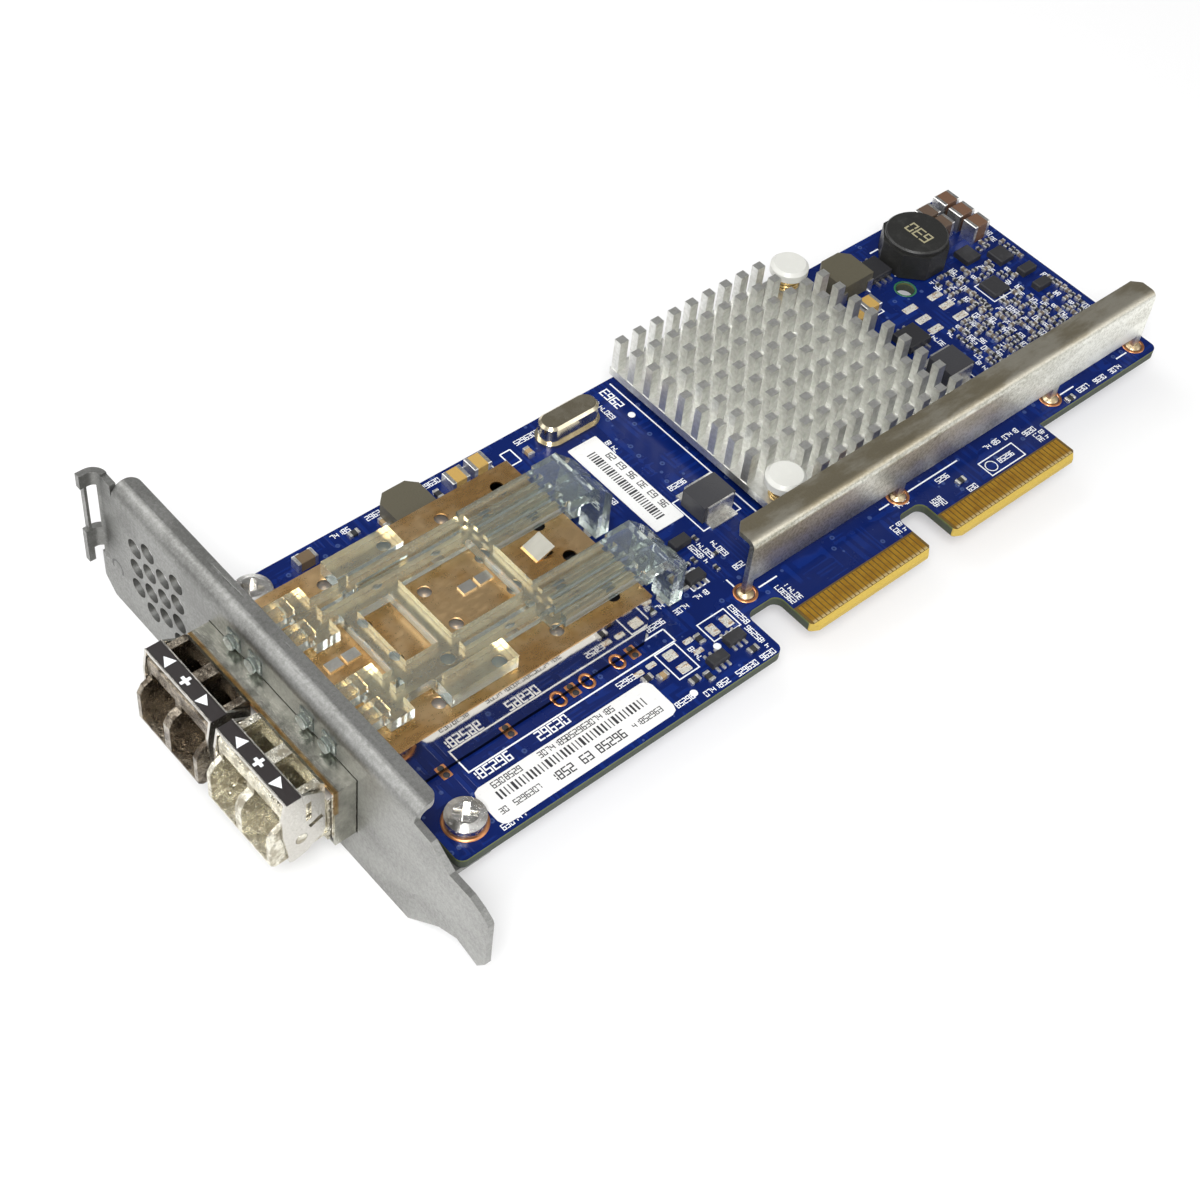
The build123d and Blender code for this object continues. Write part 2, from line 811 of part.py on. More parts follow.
def status_leds():
    """Four surface lamps under the light pipe's legs."""
    lamps = []
    x = hood_end - hood_leg / 2
    for y in hood_centres:
        for side in (-1, 1):
            lamps.append(placed((x, y + side * hood_width / 4), (led_length, led_width, led_height)))
    return group(lamps)


def sink_pins():
    """The heat sink's square pins, left out at the two corners that hold the push pins."""
    cx, cy = sink_centre
    last = pin_count - 1
    pins = []
    for column in range(pin_count):
        for row in range(pin_count):
            low_corner = column < cleared_pins and row < cleared_pins
            high_corner = column > last - cleared_pins and row > last - cleared_pins
            if low_corner or high_corner:
                continue
            x = cx + (column - last / 2) * pin_pitch
            y = cy + (row - last / 2) * pin_pitch
            sides = (x - pin_length / 2, x + pin_length / 2, y - pin_width / 2, y + pin_width / 2)
            pins.append(block(*sides, sink_base_low + sink_base, pin_top))
    return pins


def heat_sink():
    """A cross-cut aluminium sink: a base plate, its pins and two holes for push pins."""
    cx, cy = sink_centre
    half = sink_half
    base = block(cx - half, cx + half, cy - half, cy + half, sink_base_low, sink_base_low + sink_base)
    for x, y in push_places:
        base -= upright(x, y, push_hole, sink_base_low, sink_base_low + sink_base)
    return base.fuse(*sink_pins())


def controller_chip():
    """The network controller under the heat sink: a substrate with a raised cap."""
    cx, cy = sink_centre
    half = chip_size / 2
    inner = half - cap_margin
    substrate = block(cx - half, cx + half, cy - half, cy + half, 0, substrate_top)
    return substrate + block(cx - inner, cx + inner, cy - inner, cy + inner, substrate_top, chip_height)


def thermal_pad():
    """The soft pad between the controller and the heat sink."""
    cx, cy = sink_centre
    half = chip_size / 2 - pad_margin
    return block(cx - half, cx + half, cy - half, cy + half, chip_height, sink_base_low)


def push_pins():
    """Nylon push pins: a domed head, a stem and a split barb below the board."""
    pins = []
    neck = push_top - push_head_height
    top = -board_thickness
    for x, y in push_places:
        head = upright(x, y, push_head, neck, push_top)
        head = chamfer(head.edges().sort_by(Axis.Z)[-1], head_edge)
        stem = upright(x, y, push_stem, top, neck)
        barb = Pos(x, y, top - barb_length / 2) * Rot(180, 0, 0) * Cone(barb_radius, barb_tip, barb_length)
        slot = (x - barb_slot / 2, x + barb_slot / 2, y - barb_radius, y + barb_radius)
        barb -= block(*slot, top - barb_length, top - barb_slot_top)
        pins.append(head + stem + barb)
    return group(pins)


def push_pin_springs():
    """The room that each push pin's coil spring fills, as a thin sleeve round the stem."""
    springs = []
    low = sink_base_low + sink_base
    high = push_top - push_head_height
    for x, y in push_places:
        sleeve = upright(x, y, spring_radius + spring_wire / 2, low, high)
        springs.append(sleeve - upright(x, y, spring_radius - spring_wire / 2, low, high))
    return group(springs)


def stiffener_rail():
    """The tinned steel rail: a wall, a rounded top flange and legs that pass through the board."""
    x0 = rail_start
    x1 = rail_end
    y0 = rail_y
    y1 = rail_y + rail_sheet
    t = rail_sheet
    top = rail_top
    r = rail_bend
    wall = block(x0, x1, y0, y1, rail_bottom, top - r)
    bend = along(x0, x1, y0 + r, top - r, r) - along(x0, x1, y0 + r, top - r, r - t)
    bend &= block(x0, x1, y0, y0 + r, top - r, top)
    flange = block(x0, x1, y0 + r, y0 + rail_flange, top - t, top)
    flange = chamfer(flange.edges().filter_by(Axis.Z).sort_by(Axis.Y)[-2:], rail_corner)
    rail = wall + bend + flange
    for x in leg_places:
        rail += block(x - leg_width / 2, x + leg_width / 2, y0, y1, 0, rail_bottom)
        tail = (x - tail_width / 2, x + tail_width / 2, y0 + tail_thinning, y1 - tail_thinning)
        rail += block(*tail, -tail_reach, 0)
    return rail


def placed(place, size, base=0.0):
    """A moulded package with chamfered top edges, standing on base at a place on the board."""
    x, y = place
    length, width, height = size
    body = block(x - length / 2, x + length / 2, y - width / 2, y + width / 2, base, height)
    return chamfer(body.faces().sort_by(Axis.Z)[-1].edges(), chip_edge)


def placed_group(places, size):
    """Like packages in one node."""
    return group(placed(place, size) for place in places)


def crystal_can(place):
    """The oscillator can: an obround lid on a flange."""
    x, y = place
    flange = extrude(Pos(x, y, 0) * SlotOverall(crystal_length, crystal_width), amount=crystal_flange)
    inner = SlotOverall(crystal_length - 2 * crystal_lip, crystal_width - 2 * crystal_lip)
    lid = extrude(Pos(x, y, crystal_flange) * inner, amount=crystal_height - crystal_flange)
    return flange + chamfer(lid.edges().sort_by(Axis.Z)[-4:], crystal_edge)


def power_inductor(place):
    """The large choke: an eight-sided base under a round cap, on two tinned feet."""
    x, y = place
    eighth = RegularPolygon(inductor_radius, 8, rotation=22.5)
    body = extrude(Pos(x, y, inductor_lift) * eighth, amount=inductor_body - inductor_lift)
    cap = upright(x, y, inductor_cap, inductor_body, inductor_top)
    body += chamfer(cap.edges().sort_by(Axis.Z)[-1], inductor_edge)
    for sign in (-1, 1):
        reach = sorted((x + sign * inductor_foot_in, x + sign * inductor_foot_out))
        body += block(*reach, y - inductor_foot_half, y + inductor_foot_half, 0, inductor_lift)
    return body


def moulded_choke(place, size):
    """A block choke with two cut corners and a clip at each end."""
    x, y = place
    length, width, height = size
    near = y - width / 2
    body = block(x - length / 2, x + length / 2, near, y + width / 2, package_lift, height)
    body = chamfer(body.edges().filter_by(Axis.Z).sort_by(Axis.Y)[-2:], choke_corner)
    for sign in (-1, 1):
        cx = x + sign * (length / 2 - choke_clip_inset)
        clip = (cx - choke_clip_half, cx + choke_clip_half, near - choke_clip_proud, near + choke_clip_reach)
        body += block(*clip, 0, height * choke_clip_share)
    return body


def strapped_bead(place, size):
    """A ferrite bead with a flat strap folded down each side to a foot."""
    x, y = place
    length, width, height = size
    body = block(x - length / 2, x + length / 2, y - width / 2, y + width / 2, bead_lift, height)
    x0 = x - length / 2 + bead_strap_inset
    x1 = x + length / 2 - bead_strap_inset
    for sign in (-1, 1):
        edge = y + sign * width / 2
        wall = sorted((edge, edge + sign * bead_strap))
        foot = sorted((edge, edge + sign * bead_foot))
        body += block(x0, x1, *wall, 0, height)
        body += block(x0, x1, *foot, 0, bead_strap)
    return body


def leaded_chip(place, size):
    """A leaded package: its body and two rows of leads."""
    x, y = place
    width = size[1]
    body = placed(place, size, base=package_lift)
    for index in range(switch_leads):
        lead_x = x + (index - (switch_leads - 1) / 2) * lead_pitch
        for sign in (-1, 1):
            reach = sorted((y + sign * width / 2, y + sign * (width / 2 + lead_length)))
            body += block(lead_x - lead_width / 2, lead_x + lead_width / 2, *reach, 0, lead_height)
    return body


def nodes():
    """Every named piece of the card."""
    parts = {
        "board": board(),
        "upper_contacts": contacts(0, contact_thickness),
        "lower_contacts": contacts(-board_thickness - contact_thickness, -board_thickness),
        "bracket": bracket(),
        "bracket_screws": screws(),
        "cage_shell": cage_shell(),
        "cage_floor": cage_floor(),
        "cage_divider": cage_divider(),
        "cage_collar": cage_collar(),
        "light_pipe": light_pipe(),
        "status_lamps": status_leds(),
        "heat_sink": heat_sink(),
        "controller_chip": controller_chip(),
        "thermal_pad": thermal_pad(),
        "push_pins": push_pins(),
        "push_pin_springs": push_pin_springs(),
        "stiffener_rail": stiffener_rail(),
        "crystal_can": crystal_can(along_edge(crystal_place)),
        "power_inductor": power_inductor(from_corner(inductor_inset)),
        "input_choke": moulded_choke(from_corner(input_choke_inset), input_choke_size),
        "rear_choke": moulded_choke(along_edge(rear_choke_place), rear_choke_size),
        "input_bead": strapped_bead(input_bead_place, input_bead_size),
        "output_bead": strapped_bead(from_corner(output_bead_inset), output_bead_size),
        "tall_capacitors": placed_group(map(from_corner, tall_capacitor_insets), tall_capacitor_size),
        "bulk_capacitors": placed_group(map(from_corner, bulk_capacitor_insets), bulk_capacitor_size),
        "tan_capacitors": placed_group(tan_capacitor_places, tan_capacitor_size),
        "cage_side_capacitor": placed(along_edge(brown_capacitor_place), brown_capacitor_size),
        "upper_switch": leaded_chip(from_corner(upper_switch_inset), upper_switch_size),
        "lower_switch": leaded_chip(from_corner(lower_switch_inset), lower_switch_size),
        "supervisor_chip": placed(from_corner(supervisor_inset), supervisor_size),
        "power_chips": placed_group(map(from_corner, power_chip_insets), power_chip_size),
        "small_chips": placed_group(small_chip_places, small_chip_size),
    }
    for name, port in zip(port_names, ports):
        parts[f"{name}_module_housing"] = module_housing(port)
        parts[f"{name}_module_cover"] = module_cover(port)
        parts[f"{name}_module_board"] = module_board(port)
        parts[f"{name}_module_optics"] = module_optics(port)
        parts[f"{name}_bail"] = bail(port)
        parts[f"{name}_host_connector"] = host_connector(port)
    return parts


os.makedirs("parts", exist_ok=True)
for node, shape in nodes().items():
    export_step(shape, f"parts/{node}.step")
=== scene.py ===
"""Looks of a two-port network card with two optical modules plugged in, in the frame of its solids."""

import bpy
import numpy as np
from mathutils import Matrix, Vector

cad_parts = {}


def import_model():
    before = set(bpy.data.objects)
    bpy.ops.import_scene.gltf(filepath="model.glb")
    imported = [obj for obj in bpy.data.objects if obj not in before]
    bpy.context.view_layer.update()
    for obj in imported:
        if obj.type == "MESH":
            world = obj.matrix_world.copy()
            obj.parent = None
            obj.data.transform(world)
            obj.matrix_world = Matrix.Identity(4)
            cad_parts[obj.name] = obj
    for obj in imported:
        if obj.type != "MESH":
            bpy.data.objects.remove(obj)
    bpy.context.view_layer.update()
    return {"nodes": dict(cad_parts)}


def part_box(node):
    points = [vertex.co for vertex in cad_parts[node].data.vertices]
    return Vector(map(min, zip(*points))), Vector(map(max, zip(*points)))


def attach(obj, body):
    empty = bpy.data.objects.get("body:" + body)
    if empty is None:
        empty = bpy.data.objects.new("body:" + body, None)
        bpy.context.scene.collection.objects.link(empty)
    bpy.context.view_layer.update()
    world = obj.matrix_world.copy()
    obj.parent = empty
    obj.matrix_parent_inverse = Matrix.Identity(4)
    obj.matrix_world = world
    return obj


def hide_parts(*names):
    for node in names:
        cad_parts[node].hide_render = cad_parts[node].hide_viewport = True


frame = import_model()
nodes = frame["nodes"]

# Lengths are in millimetres and become metres where a mesh, a lamp or a camera takes them
mm = 0.001
port_places = (18.9, 33.7)
board_low = -1.57
board_middle = (70.0, 26.0)
tongues = ((66.95, 90.15), (95.25, 120.85))
screw_places = ((11.05, 4.4), (11.05, 48.5))
tool_hole = (125.8, 39.6)
rail_leg_places = (63.6, 93.25, 126.2, 145.5)
rail_wall_y = 10.1
wall_foot_y = 11.4
pin_places = (13.5, 23.8, 34.5, 44.7)
push_pin_places = ((77.0, 17.75), (107.6, 48.35))
spring_low = 3.75
spring_high = 6.65
strip_x = -8.4
strip_top = 12.76
floor_z = -6.85

# Ink lies just over the board, small bodies start a little higher, and a label's ink starts in its paper
ink_low = 0.01
figure_low = 0.012
ink_rise = 0.03
part_foot = 0.035
label_rise = 0.08
label_ink = 0.07


# Shapes

def add_piece(name, points, faces, finish, body="card", smooth=True):
    """A mesh piece from points in millimetres and lists of corner numbers."""
    mesh = bpy.data.meshes.new(name)
    mesh.from_pydata((np.asarray(points, float).reshape(-1, 3) * mm).tolist(), [], faces)
    mesh.polygons.foreach_set("use_smooth", np.full(len(mesh.polygons), smooth))
    mesh.materials.append(finish)
    piece = bpy.data.objects.new(name, mesh)
    bpy.context.scene.collection.objects.link(piece)
    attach(piece, body)
    return piece


def grid_faces(count, levels, around, ring=False):
    """Corner numbers of the faces of count grids, each levels high and closed around.

    The face at (u, v) joins the corners at u and u + 1 of the levels v and v + 1. A ring's last level
    joins its first, and any other grid gets a bottom and a top cover.
    """
    first = np.arange(count)[:, None] * levels * around
    u = np.arange(around)
    v = np.arange(levels if ring else levels - 1)[:, None]
    here, above = v * around, (v + 1) % levels * around
    beside = (u + 1) % around
    quads = np.stack(np.broadcast_arrays(here + u, here + beside, above + beside, above + u), -1)
    faces = (first[..., None, None] + quads).reshape(-1, 4).tolist()
    if ring:
        return faces
    bottom = first + u[::-1]
    top = first + (levels - 1) * around + u
    return faces + bottom.tolist() + top.tolist()


def slabs(name, plates, finish, body="card", corner=0.08, edge=0.03):
    """Plates with rounded corners and a softened upper edge.

    A plate is (x, y, z, length, width, height) from the centre of its underside. Its point at angle a
    of level k is centre + (half size - corner) * sign(cos a, sin a) + (corner - inset k) * (cos a, sin a)
    at height k; the levels run up the side and in over the edge.
    """
    plates = np.array(plates, float).reshape(-1, 6)
    angles = np.radians([0, 45, 90, 90, 135, 180, 180, 225, 270, 270, 315, 360])
    signs = np.repeat([(1, 1), (-1, 1), (-1, -1), (1, -1)], 3, axis=0)
    circle = np.stack([np.cos(angles), np.sin(angles)], -1)
    height = plates[:, 5]
    rise = np.stack([0 * height, height - edge, height], -1)
    radius = np.array([corner, corner, corner - edge])
    half = plates[:, None, None, 3:5] / 2
    flat = (half - corner) * signs + radius[:, None, None] * circle + plates[:, None, None, :2]
    z = np.broadcast_to((plates[:, 2:3] + rise)[..., None, None], flat.shape[:-1] + (1,))
    points = np.concatenate([flat, z], -1)
    faces = grid_faces(len(plates), len(radius), len(angles))
    return add_piece(name, points, faces, finish, body, smooth=False)


def marks(name, plates, finish):
    """Thin plates of ink with sharp corners.

    Each point is the centre of a plate's underside, plus or minus half its size, at its underside or top.
    """
    plates = np.array(plates, float).reshape(-1, 6)
    square = [(-1, -1), (1, -1), (1, 1), (-1, 1)]
    corners = np.array([(x, y, level) for level in (0, 1) for x, y in square])
    points = plates[:, None, :3] + corners * plates[:, None, 3:] * (0.5, 0.5, 1.0)
    faces = grid_faces(len(plates), 2, len(square))
    return add_piece(name, points, faces, finish, smooth=False)


def turned(name, places, profile, finish, body="card", steps=24, ring=False, smooth=True, first=0.0):
    """Copies of a profile turned about an upright line: place + (r cos u, r sin u, z).

    places are (x, y, z), the profile is (r, z) from low to high, and a ring's profile closes on itself.
    """
    places = np.array(places, float).reshape(-1, 3)
    profile = np.array(profile, float)
    u = first + np.arange(steps) * 2 * np.pi / steps
    circle = np.stack([np.cos(u), np.sin(u), 0 * u], -1)
    points = profile[:, 0, None, None] * circle + profile[:, 1, None, None] * np.array([0, 0, 1])
    points = places[:, None, None, :] + points
    faces = grid_faces(len(places), len(profile), steps, ring)
    return add_piece(name, points, faces, finish, body, smooth)


def washer(outer, inner, rise):
    """The profile of a flat ring: up its outer side, across its top and down its inner side."""
    return [(outer, 0.0), (outer, rise), (inner, rise), (inner, 0.0)]


def coils(name, places, radius, wire, low, high, turns, finish):
    """Springs: place + (radius + wire cos v) * (cos t, sin t), height rising with t, plus wire sin v."""
    around, per_turn = 8, 24
    t = np.linspace(0, 2 * np.pi * turns, per_turn * turns)
    v = -np.arange(around) * 2 * np.pi / around
    out = (radius + wire * np.cos(v))[None, :, None] * np.stack([np.cos(t), np.sin(t)], -1)[:, None, :]
    rise = low + wire + (high - low - 2 * wire) * t / t[-1]
    z = rise[:, None] + wire * np.sin(v)[None, :]
    winding = np.concatenate([out, z[..., None]], -1)
    centres = np.array([(x, y, 0) for x, y in places], float)
    points = centres[:, None, None, :] + winding
    return add_piece(name, points, grid_faces(len(places), len(t), around), finish)


# Finishes

class Value:
    """A node's output on which sums, products, powers and comparisons add Math nodes."""

    def __init__(self, tree, socket):
        self.tree = tree
        self.socket = socket

    def math(self, operation, first, second):
        """A Math node on two values or numbers."""
        return self.tree.node("ShaderNodeMath", {"operation": operation}, [first, second])

    def __add__(self, other):
        return self.math("ADD", self, other)

    def __sub__(self, other):
        return self.math("SUBTRACT", self, other)

    def __rsub__(self, other):
        return self.math("SUBTRACT", other, self)

    def __mul__(self, other):
        return self.math("MULTIPLY", self, other)

    def __pow__(self, other):
        return self.math("POWER", self, other)

    def __lt__(self, other):
        return self.math("LESS_THAN", self, other)

    def __gt__(self, other):
        return self.math("GREATER_THAN", self, other)

    def larger(self, other):
        """The larger of two values."""
        return self.math("MAXIMUM", self, other)

    __radd__ = __add__
    __rmul__ = __mul__


class Tree:
    """The nodes of a material or a world in the making, and the maths between them."""

    def __init__(self, owner):
        owner.use_nodes = True
        self.nodes = owner.node_tree.nodes
        self.links = owner.node_tree.links

    def put(self, socket, value):
        """Links a value to a socket, or sets the socket to a number, a vector or a colour."""
        if isinstance(value, Value):
            self.links.new(value.socket, socket)
        else:
            socket.default_value = value

    def node(self, kind, settings=None, inputs=(), output=0):
        """Adds a node, sets its settings, then the values or links of its inputs, and gives one output."""
        made = self.nodes.new(kind)
        for name, value in (settings or {}).items():
            setattr(made, name, value)
        pairs = inputs.items() if isinstance(inputs, dict) else enumerate(inputs)
        for key, value in pairs:
            self.put(made.inputs[key], value)
        return Value(self, made.outputs[output])

    def vector(self, operation, first, second=(0, 0, 0), output="Vector"):
        """A Vector Math node."""
        return self.node("ShaderNodeVectorMath", {"operation": operation}, [first, second], output)

    def ramp(self, value, low, high, to_low=0.0, to_high=1.0, way="SMOOTHSTEP"):
        """The value's way from low to high, held at its ends."""
        inputs = {"Value": value, "From Min": low, "From Max": high, "To Min": to_low, "To Max": to_high}
        return self.node("ShaderNodeMapRange", {"interpolation_type": way}, inputs, "Result")


class Finish(Tree):
    """A material in the making, with its Principled shader and the place on the piece in millimetres."""

    def __init__(self, name, **constants):
        self.material = bpy.data.materials.new(name)
        super().__init__(self.material)
        self.shader = self.nodes["Principled BSDF"]
        self.set(**constants)
        metres = self.node("ShaderNodeTexCoord", output="Object")
        self.place = self.vector("MULTIPLY", metres, (1 / mm, 1 / mm, 1 / mm))
        split = self.node("ShaderNodeSeparateXYZ", inputs=[self.place]).socket.node
        self.x, self.y, self.z = (Value(self, socket) for socket in split.outputs)

    def set(self, **sockets):
        """Links or sets the shader's inputs, named with underscores for spaces."""
        for label, value in sockets.items():
            self.put(self.shader.inputs[label.replace("_", " ")], value)

    def noise(self, scale, detail=4.0, roughness=0.55, stretch=(1, 1, 1)):
        """Cloudy noise with scale features to the millimetre, from 0 to 1 about 0.5."""
        place = self.vector("MULTIPLY", self.place, stretch)
        inputs = {"Vector": place, "Scale": scale, "Detail": detail, "Roughness": roughness}
        return self.node("ShaderNodeTexNoise", inputs=inputs)

    def cells(self, scale):
        """The distance to the nearest point of a scattered set."""
        return self.node("ShaderNodeTexVoronoi", inputs={"Vector": self.place, "Scale": scale})

    def blend(self, factor, first, second):
        """The first colour where the factor is 0 and the second where it is 1."""
        colours = [c if isinstance(c, Value) else (*c, 1.0) for c in (first, second)]
        # The colours of this node are its inputs 6 and 7 and its output 2
        inputs = {0: factor, 6: colours[0], 7: colours[1]}
        return self.node("ShaderNodeMix", {"data_type": "RGBA"}, inputs, 2)

    def within(self, value, low, high):
        """1 between low and high, else 0."""
        return (value > low) * (value < high)

    def box(self, low, high):
        """1 inside an upright box between two corners, else 0."""
        inside = self.within(self.x, low[0], high[0]) * self.within(self.y, low[1], high[1])
        return inside * self.within(self.z, low[2], high[2])

    def bump(self, height, distance):
        """Raises the surface by a height from 0 to 1, times a distance in millimetres."""
        inputs = {"Height": height, "Distance": distance * mm, "Strength": 1.0}
        self.set(Normal=self.node("ShaderNodeBump", inputs=inputs))


def shaded(colour, share):
    """A darker colour, as a share of a lighter one."""
    return tuple(c * share for c in colour)


def sheet_metal(name, colour, dull, rough, spread=0.1, mottle=2.0, grain=(1, 1, 1), wave=0.02, dent=0.0):
    """Metal with cloudy tarnish from colour to dull, hairlines along its grain and a slight unevenness."""
    finish = Finish(name, Metallic=1.0)
    cloud = finish.noise(mottle * 0.3, 5.0)
    hairline = finish.noise(mottle * 2.0, 3.0, 0.7, grain)
    speck = finish.ramp(finish.noise(mottle * 1.3, 6.0, 0.7), 0.56, 0.68)
    tone = finish.ramp(cloud, 0.35, 0.65)
    finish.set(Base_Color=finish.blend(tone * 0.7 + speck * 0.3, colour, dull))
    uneven = (cloud - 0.5) + (hairline - 0.5) * 0.8 + speck * 0.6
    finish.set(Roughness=rough + uneven * spread)
    swell = finish.noise(0.12, 2.0)
    finish.bump(swell * wave * 6 + hairline * wave + speck * dent, 0.35)
    return finish.material


def moulded(name, colour, pale, rough=0.5, grain=6.0, coat=0.0, depth=0.02):
    """Moulded plastic or pressed powder: fine grain, and scattered patches of pale dust that are also
    rougher.
    """
    finish = Finish(name, Coat_Weight=coat)
    fine = finish.noise(grain, 4.0, 0.6)
    dust = finish.ramp(finish.noise(0.5, 6.0, 0.65), 0.5, 0.75)
    finish.set(Base_Color=finish.blend(dust * 0.25 + fine * 0.10, colour, pale))
    finish.set(Roughness=rough + 0.18 * (fine - 0.5) + dust * 0.1)
    finish.bump(fine, depth)
    return finish.material


tin = (0.86, 0.85, 0.82)


def tinned(name, body, ends):
    """Packages with tin ends, straps or leads, which are given as boxes of low and high corners."""
    finish = Finish(name)
    mask = finish.box(*ends[0])
    for corners in ends[1:]:
        mask = mask.larger(finish.box(*corners))
    grain = finish.noise(4.0, 5.0, 0.6)
    patch = finish.ramp(finish.noise(1.2, 3.0), 0.4, 0.65)
    shade = finish.blend(grain * 0.5, body, shaded(body, 0.6))
    metal = finish.blend(patch, tin, shaded(tin, 0.72))
    finish.set(Base_Color=finish.blend(mask, shade, metal), Metallic=mask * 0.95)
    finish.set(Roughness=0.45 - mask * 0.16 + (grain - 0.5) * 0.15)
    finish.bump(grain, 0.03)
    return finish.material


# How far the tin beside a package stays off its body, and how far a box reaches past the tin
tin_gap = 0.02
tin_room = 0.3


def end_boxes(places, size, reach):
    """Boxes over both ends of packages that lie along x, reach deep."""
    length, width, height = size
    boxes = []
    for x, y in places:
        for sign in (-1, 1):
            near, far = sorted((x + sign * (length / 2 - reach), x + sign * (length / 2 + tin_room)))
            low = (near, y - width / 2 - tin_room, -tin_room)
            boxes.append((low, (far, y + width / 2 + tin_room, height + tin_room)))
    return boxes


def side_boxes(places, size, reach):
    """Boxes over what stands out by up to reach at both long sides of packages."""
    length, width, height = size
    boxes = []
    for x, y in places:
        for sign in (-1, 1):
            near, far = sorted((y + sign * (width / 2 + tin_gap), y + sign * (width / 2 + reach)))
            boxes.append(((x - length, near, -tin_room), (x + length, far, height + tin_room)))
    return boxes


def clip_boxes(place, size):
    """Boxes over the two clips on the near side of a block choke."""
    x, y = place
    length, width, height = size
    clip_inset, clip_half, clip_reach = 0.4, 0.65, 0.5
    near = y - width / 2
    boxes = []
    for sign in (-1, 1):
        middle = x + sign * (length / 2 - clip_inset)
        low = (middle - clip_half, near - clip_reach, -tin_room)
        boxes.append((low, (middle + clip_half, near - tin_gap, height)))
    return boxes


def mask_pattern(finish):
    """Blue mask over bundled traces and vias: its colour, its relief and its soft clouds."""
    lines_x = finish.noise(1.0, 0.0, 0.5, (0.06, 1.6, 1))
    lines_y = finish.noise(1.0, 0.0, 0.5, (1.6, 0.06, 1))
    pick = finish.ramp(finish.noise(0.11, 2.0), 0.47, 0.53)
    lines = finish.ramp(lines_x * pick + lines_y * (1 - pick), 0.5, 0.56)
    bundle = finish.ramp(finish.noise(0.16, 1.0, 0.5, (1, 1.3, 1)), 0.42, 0.5)
    trace = lines * bundle
    dot = finish.cells(0.42)
    via = dot < 0.16
    hole = dot < 0.07
    cloud = finish.noise(0.3, 4.0)
    blue = finish.blend(trace * 0.8, (0.003, 0.013, 0.10), (0.005, 0.023, 0.165))
    blue = finish.blend(cloud * 0.35, blue, (0.001, 0.007, 0.085))
    blue = finish.blend(via * 0.35, blue, (0.10, 0.16, 0.38))
    blue = finish.blend(hole * 0.7, blue, (0.004, 0.008, 0.04))
    return blue, trace * 0.7 + via * 0.3, cloud


def laminate_pattern(finish, face, tongue_zone):
    """Woven laminate, paler at the rim, gold on the tongues' slopes and brown between contacts."""
    slope_end = 1.2
    rim_low, rim_high = -0.45, -0.2
    weave = finish.noise(3.0, 3.0, 0.6, (1, 1, 6))
    rim = finish.ramp(finish.z, rim_low, rim_high)
    core = finish.blend(weave, (0.040, 0.052, 0.045), (0.09, 0.10, 0.07))
    laminate = finish.blend(rim * 0.7, core, (0.16, 0.19, 0.05))
    slope = tongue_zone * (1 - face) * (finish.y < slope_end)
    gold = finish.blend(weave, (0.44, 0.30, 0.05), (0.62, 0.46, 0.11))
    laminate = finish.blend(slope, laminate, gold)
    laminate = finish.blend(tongue_zone * face * 0.8, laminate, (0.12, 0.055, 0.012))
    return laminate, weave


def board_finish():
    """Blue mask on both faces, with bare laminate on the edges and between the contacts."""
    mask_depth = 0.03
    mask_start = 4.2
    finish = Finish("blue_board", Specular_IOR_Level=0.2)
    face = (finish.z > -mask_depth).larger(finish.z < board_low + mask_depth)
    tongue_zone = finish.within(finish.x, tongues[0][0], tongues[1][1]) * (finish.y < mask_start)
    mask = face * (1 - tongue_zone)
    blue, relief, cloud = mask_pattern(finish)
    laminate, weave = laminate_pattern(finish, face, tongue_zone)
    finish.set(Base_Color=finish.blend(mask, laminate, blue))
    finish.set(Roughness=0.62 - mask * 0.36 + (cloud - 0.5) * 0.1, Coat_Weight=mask * 0.05)
    finish.bump(relief + weave * (1 - mask) * 0.6, 0.03)
    return finish.material


def gold_finish():
    """Gold plating with a bright slope at the tip, probe marks and a brownish film."""
    slope_start, slope_end = 0.8, 1.3
    finish = Finish("edge_gold", Metallic=0.7)
    film = finish.ramp(finish.noise(0.6, 4.0), 0.35, 0.7)
    tip = 1 - finish.ramp(finish.y, slope_start, slope_end)
    score = finish.noise(2.5, 3.0, 0.7, (4, 0.25, 1))
    colour = finish.blend(film, (0.58, 0.32, 0.035), (0.42, 0.21, 0.022))
    colour = finish.blend(tip * 0.7, colour, (1.0, 0.84, 0.45))
    finish.set(Base_Color=colour, Roughness=0.34 + (score - 0.5) * 0.3 + film * 0.08)
    finish.bump(score, 0.02)
    return finish.material


